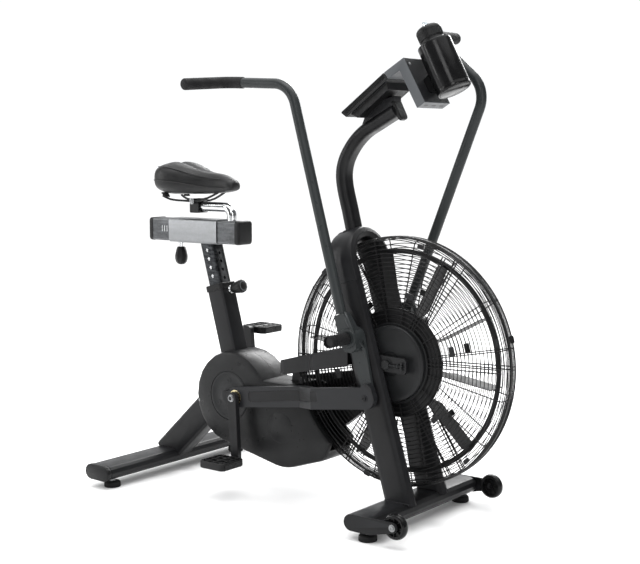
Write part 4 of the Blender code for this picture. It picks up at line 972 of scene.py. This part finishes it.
def make_saddle_base():
    """The clamp and wire rails, the clamp's nuts and the rubber bumpers under the tail."""
    refined("saddle_clamp", "plastic", 0.0008, 30.0)
    hardware = []
    for side in (-1, 1):
        hardware += bolt((-0.443, side * 0.0300, 0.826), Y_AXIS * side, 0.0062, 0.0034)
    piece("clamp_nuts", "steel", "seat", hardware, bevel=0.0004)
    rings = []
    for side in (-1, 1):
        for k in range(3):
            middle = Vector((-0.540 + 0.004 * k, side * 0.043, 0.848 - 0.0045 * k))
            rings.append(hoop(middle, 0.0085 - 0.0006 * k, circle(0.0026, 8), 28, Z_AXIS))
    piece("tail_bumpers", "rubber", "seat", rings, angle=60)


def make_seat_slide():
    """The post and sleeve, the rail with its caps and scale, chrome strips along its lower edges that are
    painted highlights, and the bent stem.
    """
    low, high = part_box("seat_rail")
    half = 0.030
    z = (0.705 + 0.771) / 2
    refined("seat_carriage", "zinc", 0.0012, 30.0)
    section = rounded_rectangle(2 * half - 0.0002, 0.0658, 0.006, 6)
    start = low.x + 0.016
    end = high.x - 0.016
    rail = loft([[(x, a, z + b) for a, b in section] for x in (start, start + 0.001, end - 0.001, end)])
    piece("rail_tube", "zinc", "seat_slider", [rail], ["seat_rail"], angle=30)
    caps = []
    for face, inward in ((low.x, 1), (high.x, -1)):
        rings = []
        for grow, along in ((0.80, 0.0), (0.93, 0.0010), (0.985, 0.0032), (1.0, 0.0070), (1.0, 0.0156),
                            (0.97, 0.0160)):
            rings.append([(face + inward * along, a * grow, z + b * grow)
                          for a, b in rounded_rectangle(0.0628, 0.0688, 0.009, 8)])
        caps.append(loft(rings))
    piece("rail_caps", "plastic", "seat_slider", caps, angle=40)
    # Thin chrome strips along the rail's lower edges: painted highlights.
    edges = []
    for side in (-1, 1):
        across = side * (half - 0.0058)
        edges.append(box((start + 0.002, across - 0.003, z - 0.03312),
                         (end - 0.002, across + 0.003, z - 0.0328)))
    piece("rail_edge_highlights", "chrome", "seat_slider", edges)
    ticks = []
    for k in range(3):
        x = -0.5465 - 0.0100 * k
        for side in (-1, 1):
            y = side * 0.03005
            ticks.append(box((x - 0.0009, y - 0.0001, z - 0.006), (x + 0.0009, y + 0.0001, z + 0.012)))
    piece("scale_ticks", "mark", "seat_slider", ticks)
    bend = bent([(-0.312, 0, 0.7715), (-0.312, 0, 0.810), (-0.450, 0, 0.810)], [0.024], 14)
    piece("seat_stem_tube", "chrome", "seat_slider", [tube(bend, circle(0.0145, 32))], ["seat_stem"],
          angle=40)


def make_collar():
    """The plastic collar on the seat tube's mouth."""
    outline = rounded_rectangle(0.0660, 0.0660, 0.0095, 8)
    hole = rounded_rectangle(0.0515, 0.0475, 0.0060, 8)
    chamfer = [(a * 0.965, b * 0.965) for a, b in outline]
    rings = []
    for outer, along in ((outline, -0.014), (outline, 0.0015), (chamfer, 0.0034)):
        rings.append([COLLAR + POST_UP * along + Y_AXIS * a + POST_FRONT * b for a, b in outer])
    for along in (0.0034, -0.0004):
        rings.append([COLLAR + POST_UP * along + Y_AXIS * a + POST_FRONT * b for a, b in hole])
    points, faces = loft(rings)
    inner = [COLLAR - POST_UP * 0.014 + Y_AXIS * a * 0.912 + POST_FRONT * b * 0.912 for a, b in outline]
    size = len(outline)
    start = len(points)
    points += inner
    faces = faces[:-2]
    for k in range(size):
        after = (k + 1) % size
        faces.append((start + k, start + after, after, k))
    piece("tube_collar", "plastic", "frame", [(points, faces)], angle=30)


def make_post_marks():
    """The arrows beside the post's holes."""
    marks = []
    for k in range(4):
        for side in (-1, 1):
            middle = COLLAR + POST_UP * (0.030 + 0.026 * k) + Y_AXIS * side * 0.02506
            arrow = slab([(0.0, 0.005), (-0.0055, -0.001), (-0.0022, -0.001), (-0.0022, -0.006),
                          (0.0022, -0.006), (0.0022, -0.001), (0.0055, -0.001)], -0.00012, 0.00012, "Z")
            marks.append(placed(arrow, middle, POST_FRONT, POST_UP, Y_AXIS * side))
    piece("post_marks", "mark", "seat_post", marks)


def make_height_knob():
    """The knob that frees the post: a grooved grip on a turned barrel, with a pale ring."""
    hole_at = COLLAR - POST_UP * 0.020
    lobed = [(0.0, 0.0442), (0.0102, 0.0442), (0.0128, 0.0470), (0.0150, 0.0530), (0.0178, 0.0660),
             (0.0192, 0.0760), (0.0193, 0.0838), (0.0180, 0.0866), (0.0160, 0.0878), (0.0, 0.0879)]
    piece("height_grip", "plastic", "height_pin", [grooved(lobed, hole_at, POST_FRONT, 10, 0.0009)],
          ["height_knob"])
    barrel = [(0.0, 0.0250), (0.0054, 0.0250), (0.0054, 0.0306), (0.0112, 0.0306), (0.0118, 0.0312),
              (0.0118, 0.0392), (0.0112, 0.0398), (0.0090, 0.0400), (0.0090, 0.0444), (0.0, 0.0444)]
    piece("height_barrel", "chrome", "height_pin", [lathe(barrel, hole_at, POST_FRONT, 40)], angle=30)
    ring = [(0.0120, 0.08745), (0.0150, 0.08745), (0.0150, 0.08795), (0.0120, 0.08795), (0.0120, 0.08745)]
    piece("height_ring", "grey", "height_pin", [lathe(ring, hole_at, POST_FRONT, 40)], angle=30)


def make_slider_knob():
    """The knob under the sleeve that frees the rail: a grooved handle on a turned stem."""
    handle = [(0.0, 0.6322), (0.0070, 0.6326), (0.0120, 0.6350), (0.0165, 0.6410), (0.0188, 0.6500),
              (0.0188, 0.6590), (0.0160, 0.6720), (0.0126, 0.6840), (0.0100, 0.6862), (0.0, 0.6862)]
    base = Vector((-0.517, 0.0, 0.0))
    piece("slider_grip", "plastic", "slider_pin", [grooved(handle, base, Z_AXIS, 8, 0.0011)], ["slider_knob"])
    stem = [(0.0, 0.6862), (0.0058, 0.6862), (0.0058, 0.6956), (0.0084, 0.6966), (0.0084, 0.7008),
            (0.0038, 0.7010), (0.0038, 0.7040), (0.0, 0.7040)]
    piece("slider_stem", "chrome", "slider_pin", [lathe(stem, base, Z_AXIS, 32)], angle=30)


def grooved(profile, origin, axis, lobes, depth):
    """A turned knob whose side waves in and out for the fingers."""
    sides = lobes * 8
    points, faces = lathe(profile, origin, axis, sides)
    axis = Vector(axis).normalized()
    moved = []
    for index, point in enumerate(points):
        foot = Vector(origin) + axis * (point - Vector(origin)).dot(axis)
        out = point - foot
        wave = 0.5 - 0.5 * math.cos(lobes * 2 * math.pi * (index % sides) / sides)
        share = min(1.0, out.length / 0.012)
        moved.append(point - out.normalized() * wave * depth * share if out.length > 1e-4 else point)
    return moved, faces


# ---- console and bottle -----------------------------------------------------------

CONSOLE_HALF = 0.060


def on_console(along, across, out):
    return CONSOLE_LOW + CONSOLE_UP * along + Y_AXIS * across + CONSOLE_FACE * out


def console_bar(along, across, out):
    """A box in the console's own directions, from three (start, end) pairs."""
    points, faces = box((along[0], across[0], out[0]), (along[1], across[1], out[1]))
    return [on_console(p[0], p[1], p[2]) for p in points], faces


def make_console():
    """The housing with louvred sides, the panel's keys, and the folded bracket with its slots."""
    refined("console_housing", "plastic", 0.0016, 30.0, 3)
    refined("display_panel", "display", 0.0003)
    ribs = []
    for _, side in SIDES:
        face = side * (CONSOLE_HALF - 0.0004)
        for k in range(4):
            out = -0.0035 - 0.0030 * k
            across = sorted((face, face + side * 0.0004))
            ribs.append(console_bar((0.012, 0.166), across, (out - 0.0009, out + 0.0009)))
        windows = 12
        for k in range(windows):
            along = 0.020 + 0.0122 * k
            across = sorted((face, face + side * 0.00035))
            ribs.append(console_bar((along, along + 0.0088), across, (-0.0192, -0.0160)))
    piece("console_louvres", "louvre", "frame", ribs, bevel=0.0002)
    backing = []
    for k in range(7):
        across = -0.042 + 0.014 * k
        backing.append(console_bar((0.034, 0.146), (across - 0.0030, across + 0.0030), (-0.0390, -0.0378)))
    piece("console_ribs", "plastic", "frame", backing, bevel=0.0005)
    screws = []
    for along, across in ((0.040, 0.035), (0.040, -0.035), (0.140, 0.035), (0.140, -0.035)):
        screws += bolt(on_console(along, across, -0.0378), -CONSOLE_FACE, 0.0030, 0.0012, False)
    piece("console_screws", "steel", "frame", screws, bevel=0.0002)
    keys = []
    for k in range(6):
        for across in (-0.040, 0.040):
            along = 0.022 + 0.0150 * k
            keys.append(console_bar((along, along + 0.010), (across - 0.007, across + 0.007), (-0.0003, 0.0)))
    for k in range(3):
        keys.append(console_bar((0.018, 0.030), (-0.024 + 0.017 * k, -0.010 + 0.017 * k), (-0.0003, 0.0)))
    piece("console_keys", "key", "frame", keys, bevel=0.0002)
    window = console_bar((0.044, 0.140), (-0.027, 0.027), (-0.00035, -0.00005))
    piece("display_glass", "gloss", "frame", [window], bevel=0.0003)
    digits = []
    for row in range(3):
        for k in range(4):
            digits += segments((0.056 + 0.028 * row, -0.019 + 0.0115 * k))
    piece("display_segments", "key", "frame", digits)
    make_bracket()


def segments(corner):
    """The seven bars of one blank figure."""
    along, across = corner
    width = 0.0060
    height = 0.0120
    thin = 0.0009
    bars = []
    for level in (0.0, height / 2, height):
        bars.append(console_bar((along + level - thin / 2, along + level + thin / 2),
                                (across, across + width), (0.0, 0.00012)))
    for edge in (0.0, width):
        bars.append(console_bar((along, along + height), (across + edge - thin / 2, across + edge + thin / 2),
                                (0.0, 0.00012)))
    return bars


def make_bracket():
    """The folded plate: grey satin sides, a black sheet over the front that is painted shade, and slots under
    it.
    """
    refined("console_bracket", "grey", 0.0012, 30.0)
    front_top = Vector((0.326, 0.0, 1.2115))
    front_low = Vector((0.3915, 0.0, 1.098))
    down = (front_low - front_top).normalized()
    ahead = Vector((-down.z, 0.0, down.x))
    length = (front_low - front_top).length
    half = CONSOLE_HALF - 0.0015
    plate = [(0.002, -half), (length - 0.002, -half), (length - 0.002, half), (0.002, half)]
    # A black sheet laid over the grey bracket's front face: painted shade.
    front = placed(slab(plate, -0.0006, 0.0003, "Z"), front_top, down, Y_AXIS, ahead)
    piece("bracket_front_shade", "powder", "frame", [front], bevel=0.0004)
    back_low = Vector((0.368, 0.0, 1.084))
    under = (front_low - back_low).normalized()
    outward = Vector((under.z, 0.0, -under.x))
    slots = []
    slot = slab(rounded_rectangle(0.006, 0.018, 0.0029, 6), -0.0002, 0.0002, "Z")
    for across in (-0.036, 0.0, 0.036):
        slots.append(placed(slot, back_low + under * 0.0135 + Y_AXIS * across, under, Y_AXIS, outward))
    piece("bracket_slots", "powder", "frame", slots)
    screws = []
    for across in (-0.0445, 0.0445):
        spot = front_top + down * 0.018 + Y_AXIS * across + ahead * 0.0003
        screws += bolt(spot, ahead, 0.0034, 0.0016, False)
    piece("bracket_screws", "steel", "frame", screws, bevel=0.0002)


def make_bottle():
    """The glossy cup with its rolled lip and foot ring, the bottle, its ribbed cap and soft nozzle."""
    radius = 0.045
    cup = [(0.0, 0.0), (0.0385, 0.0), (0.0400, 0.0006), (0.0412, 0.0012), (0.0436, 0.0010),
           (0.0446, 0.0020), (0.0450, 0.0045), (radius, 0.0100), (0.04475, 0.0112), (radius, 0.0124),
           (radius, 0.1290), (0.0450, 0.1335), (0.0444, 0.1348), (0.0430, 0.1350), (0.0422, 0.1342),
           (0.0421, 0.1300), (0.0421, 0.0034), (0.0, 0.0034), (0.0, 0.0)]
    tab = slab([(0.3592, 1.1560), (0.3782, 1.1232), (0.4000, 1.1360), (0.3800, 1.1720)], -0.0195, 0.0195)
    piece("bottle_cup", "gloss", "frame", [lathe(cup, BOTTLE_LOW, BOTTLE_UP, 96), tab], ["bottle_holder"],
          angle=40)
    lip = hoop(BOTTLE_LOW + BOTTLE_UP * 0.1338, 0.0436, circle(0.0012, 8), 80, BOTTLE_UP)
    bead = hoop(BOTTLE_LOW + BOTTLE_UP * 0.0115, 0.04475, circle(0.0005, 6), 80, BOTTLE_UP)
    piece("holder_lip", "gloss", "frame", [lip, bead], angle=60)
    foot = [(0.0, -0.0001), (0.0400, -0.0001), (0.0412, 0.0008), (0.0412, 0.0020), (0.0, 0.0020)]
    piece("holder_foot", "disc", "frame", [lathe(foot, BOTTLE_LOW + BOTTLE_UP * 0.00012, BOTTLE_UP, 64)],
          angle=30)
    body = [(0.0, 0.0034), (0.0335, 0.0034), (0.0358, 0.0060), (0.0360, 0.0900), (0.0352, 0.0930),
            (0.0352, 0.1010), (0.0360, 0.1040), (0.0360, 0.1230), (0.0345, 0.1310), (0.0312, 0.1378),
            (0.0310, 0.1468), (0.0, 0.1468)]
    piece("bottle_body", "plastic", "bottle", [lathe(body, BOTTLE_LOW, BOTTLE_UP, 64)], ["water_bottle"],
          angle=40)
    top = 0.1473
    cap = [(0.0, top), (0.0322, top), (0.0334, top + 0.0016), (0.0334, top + 0.0030), (0.0326, top + 0.0036),
           (0.0326, top + 0.0200), (0.0334, top + 0.0206), (0.0334, top + 0.0255), (0.0320, top + 0.0290),
           (0.0280, top + 0.0330), (0.0200, top + 0.0348), (0.0120, top + 0.0356), (0.0, top + 0.0358)]
    shapes = [lathe(cap, BOTTLE_LOW, BOTTLE_UP, 64)]
    over = BOTTLE_UP.cross(Y_AXIS)
    ribs = 44
    for k in range(ribs):
        angle = 2 * math.pi * k / ribs
        out = Y_AXIS * math.cos(angle) + over * math.sin(angle)
        start = BOTTLE_LOW + out * 0.03262 + BOTTLE_UP * (top + 0.0040)
        shapes.append(tube([start, start + BOTTLE_UP * 0.0158], circle(0.00075, 6)))
    piece("bottle_lid", "plastic", "bottle", shapes, ["bottle_cap"], angle=40)
    neck = [(0.0, top + 0.0350), (0.0110, top + 0.0350), (0.0110, top + 0.0385), (0.0094, top + 0.0395),
            (0.0080, top + 0.0400), (0.0080, top + 0.0420), (0.0084, top + 0.0430), (0.0084, top + 0.0470),
            (0.0070, top + 0.0505), (0.0040, top + 0.0518), (0.0, top + 0.0519)]
    piece("bottle_nozzle", "clear", "bottle", [lathe(neck, BOTTLE_LOW, BOTTLE_UP, 40)], angle=40)


# ---- frame details ----------------------------------------------------------------

def on_fork(height, across, ahead):
    """A point by its height up a fork leg, its Y, and its distance ahead of the leg's middle."""
    return FORK_BASE + FORK_UP * height + Y_AXIS * across + FORK_FRONT * ahead


def bead(route, thick):
    """A weld bead: a lumpy tube along a route."""
    scale = [1.0 + 0.16 * math.sin(2.1 * k) + 0.06 * noise.noise(Vector(p) * 160)
             for k, p in enumerate(route)]
    return tube(route, circle(thick, 8), scale=scale)


def make_mast():
    """The oval mast, its foot plate and bolts, the wedge under the console and the end cap."""
    knots = [(0.1375, 0.7350), (0.118, 0.811), (0.098, 0.890), (0.101, 0.940), (0.125, 0.985), (0.163, 1.023),
             (0.215, 1.052), (0.2700, 1.0805)]
    route = smooth([Vector((x, 0.0, z)) for x, z in knots], 8)
    oval = rounded_rectangle(0.035, 0.054, 0.0174, 10)
    wedge = slab([(0.152, 1.012), (0.245, 1.055), (0.270, 1.098), (0.268, 1.118), (0.232, 1.108),
                  (0.176, 1.069)],
                 -0.0160, 0.0160)
    foot = slab(rounded_rectangle(0.072, 0.048, 0.008, 6), -0.0040, 0.0040, "Z")
    foot = placed(foot, on_fork(0.7185, 0.0, -0.005), Y_AXIS, FORK_FRONT, FORK_UP)
    piece("mast_tube", "powder", "frame", [tube(route, oval, up=Y_AXIS), wedge, foot], ["mast"],
          bevel=0.0010, angle=40)
    cap = slab(rounded_rectangle(0.036, 0.060, 0.0120, 8), -0.0020, 0.0090, "X")
    tip = Vector((0.2710, 0.0, 1.0810))
    ahead = (route[-1] - route[-2]).normalized()
    over = Vector((-ahead.z, 0.0, ahead.x))
    points = [tip + ahead * p.x + Y_AXIS * p.y + over * p.z for p in map(Vector, cap[0])]
    piece("mast_cap", "plastic", "frame", [(points, cap[1])], bevel=0.0024)
    bolts = []
    for across in (-0.0285, 0.0285):
        bolts += bolt(on_fork(0.7225, across, -0.005), FORK_UP, 0.0052, 0.0038)
    piece("mast_bolts", "powder", "frame", bolts, bevel=0.0004)


def make_frame_details():
    """Weld beads, the fan axle with its washers, and the threaded tensioners beside it."""
    weld = 0.0016
    height = 0.0685
    beads = []
    for _, side in SIDES:
        low = [on_fork(-0.0035, side * 0.094, -0.040 + 0.080 * k / 24) for k in range(25)]
        beads.append(bead([Vector((p.x, p.y, height)) for p in low], weld))
    for _, side in SIDES:
        beads.append(bead([Vector((-0.5135, side * 0.029 * (1 - k / 10), height)) for k in range(11)], weld))
    piece("weld_beads", "powder", "frame", beads, angle=80)
    washers = [bolt(FAN + Y_AXIS * side * 0.0739, Y_AXIS * side, 0.0120)[0] for _, side in SIDES]
    piece("axle_washers", "disc", "frame", washers)
    refined("fan_axle", "disc", 0.0006)
    tension = []
    for _, side in SIDES:
        eye = FAN + Y_AXIS * side * 0.0775
        tension.append(tube([eye + X_AXIS * 0.012, eye + X_AXIS * 0.052], circle(0.0030, 14)))
        for k in range(12):
            tension.append(hoop(eye + X_AXIS * (0.020 + 0.0024 * k), 0.0030, circle(0.00035, 5), 18, X_AXIS))
        tension.append(lathe([(0.0, 0.0), (0.0062, 0.0), (0.0062, 0.0050), (0.0, 0.0050)],
                             eye + X_AXIS * 0.036, X_AXIS, 6))
        for turn in (-1, 1):
            wing = slab([(0.0, 0.0), (0.010, 0.0030), (0.012, 0.0070), (0.008, 0.0075), (0.0, 0.0045)],
                        -0.0012, 0.0012, "Z")
            tension.append(placed(wing, eye + X_AXIS * 0.044, Z_AXIS * turn, X_AXIS, Y_AXIS))
    piece("chain_tensioners", "disc", "frame", tension, angle=40)


# ---- stage ------------------------------------------------------------------------

AZIMUTH = math.radians(37.831)
ELEVATION = math.radians(6.345)
FORWARD = Vector((-math.sin(AZIMUTH) * math.cos(ELEVATION), math.cos(AZIMUTH) * math.cos(ELEVATION),
                  -math.sin(ELEVATION)))
BACKDROP = (FORWARD * Vector((1, 1, 0))).normalized()


def area_light(name, place, target, size, power, colour=(1.0, 1.0, 1.0)):
    data = bpy.data.lights.new(name, "AREA")
    data.shape = "RECTANGLE"
    data.size, data.size_y = size
    data.energy = power
    data.color = colour
    light = bpy.data.objects.new(name, data)
    bpy.context.scene.collection.objects.link(light)
    light.location = place
    light.rotation_mode = "QUATERNION"
    light.rotation_quaternion = (Vector(target) - Vector(place)).to_track_quat("-Z", "Y")


def make_studio():
    """A pale floor under a white sky, with soft lights."""
    mesh = bpy.data.meshes.new("floor")
    reach = 30.0
    mesh.from_pydata([(-reach, -reach, 0), (reach, -reach, 0), (reach, reach, 0), (-reach, reach, 0)], [],
                     [(0, 1, 2, 3)])
    floor = bpy.data.objects.new("floor", mesh)
    bpy.context.scene.collection.objects.link(floor)
    graph = Graph("floor_paper", (0.88, 0.88, 0.88), 0.7, 0.0)
    graph.colour(graph.mix(graph.noise(3.0), (0.87, 0.87, 0.87), (0.90, 0.90, 0.90)))
    mesh.materials.append(graph.material)
    make_sky()
    area_light("key", (2.2, -3.6, 3.2), (0.0, 0.0, 0.6), (1.4, 1.8), 42.0)
    area_light("top", (0.2, -0.2, 3.6), (0.0, 0.0, 0.4), (2.6, 1.2), 60.0)
    area_light("right_strip", (3.6, -1.6, 1.4), (0.0, 0.0, 0.6), (0.5, 2.4), 26.0)
    area_light("left_strip", (-2.6, -3.4, 1.6), (0.0, 0.0, 0.6), (0.5, 2.4), 30.0)
    soft = bpy.data.lights.new("overhead", "SUN")
    soft.energy = 3.1
    soft.angle = math.radians(100)
    bpy.context.scene.collection.objects.link(bpy.data.objects.new("overhead", soft))
    area_light("side", (-3.4, -2.0, 1.8), (0.0, 0.0, 0.6), (0.9, 2.4), 40.0)
    area_light("back", (-1.0, 3.2, 2.6), (0.1, 0.0, 0.7), (2.4, 1.4), 110.0)
    bpy.context.scene.view_settings.view_transform = "Standard"


def make_sky():
    """A white backdrop wherever it is seen; the bike itself reflects a dim room in front of it."""
    world = bpy.data.worlds.new("sky")
    world.use_nodes = True
    nodes = world.node_tree.nodes
    links = world.node_tree.links
    direction = nodes.new("ShaderNodeTexCoord").outputs["Generated"]
    facing = nodes.new("ShaderNodeVectorMath")
    facing.operation = "DOT_PRODUCT"
    facing.inputs[1].default_value = BACKDROP
    links.new(direction, facing.inputs[0])
    fall = nodes.new("ShaderNodeMapRange")
    fall.interpolation_type = "SMOOTHSTEP"
    for name, number in (("From Min", 0.45), ("From Max", 0.90), ("To Min", 0.17), ("To Max", 1.05)):
        fall.inputs[name].default_value = number
    links.new(facing.outputs["Value"], fall.inputs["Value"])
    seen = nodes.new("ShaderNodeMath")
    seen.operation = "MAXIMUM"
    links.new(nodes.new("ShaderNodeLightPath").outputs["Is Camera Ray"], seen.inputs[0])
    links.new(fall.outputs["Result"], seen.inputs[1])
    links.new(seen.outputs["Value"], nodes["Background"].inputs["Strength"])
    nodes["Background"].inputs["Color"].default_value = (0.98, 0.99, 1.0, 1.0)
    bpy.context.scene.world = world


def make_camera():
    data = bpy.data.cameras.new("camera")
    data.sensor_width = 36.0
    data.lens = 70.47
    camera = bpy.data.objects.new("camera", data)
    bpy.context.scene.collection.objects.link(camera)
    camera.location = (2.12562, -2.72054, 0.99734)
    camera.rotation_mode = "QUATERNION"
    camera.rotation_quaternion = FORWARD.to_track_quat("-Z", "Y")
    bpy.context.scene.camera = camera


# ---- the whole bike ---------------------------------------------------------------

KEPT = {
    "powder": ("rear_stabilizer", "front_stabilizer", "fork_leg_right", "fork_leg_left", "fork_crown",
               "main_frame", "yoke_beam_right", "yoke_beam_left"),
    "plastic": ("rear_cap_right", "rear_cap_left", "crank_pulley", "fan_belt_cover"),
    "rubber": ("primary_belt", "fan_belt"),
    "disc": ("crankshaft", "idler_pulleys"),
}


def make_bike():
    for look, nodes in KEPT.items():
        for node in nodes:
            refined(node, look, 0.0016, 26.0, 3)
    make_rotor()
    make_hub_plate()
    for name, side in SIDES:
        make_cage(name, side)
        make_arm(name, side)
        make_lever(name, side)
        make_cover(name, side)
        make_crank_cover(name, side)
        make_crank(name, side)
        make_pedal(name, side)
        make_wheel(name, side)
        for end in ("front", "rear"):
            make_foot(f"foot_{end}_{name}")
    make_saddle()
    make_seat_slide()
    make_collar()
    make_post_marks()
    make_height_knob()
    make_slider_knob()
    make_console()
    make_bottle()
    make_mast()
    make_frame_details()


make_bike()
make_studio()
make_camera()
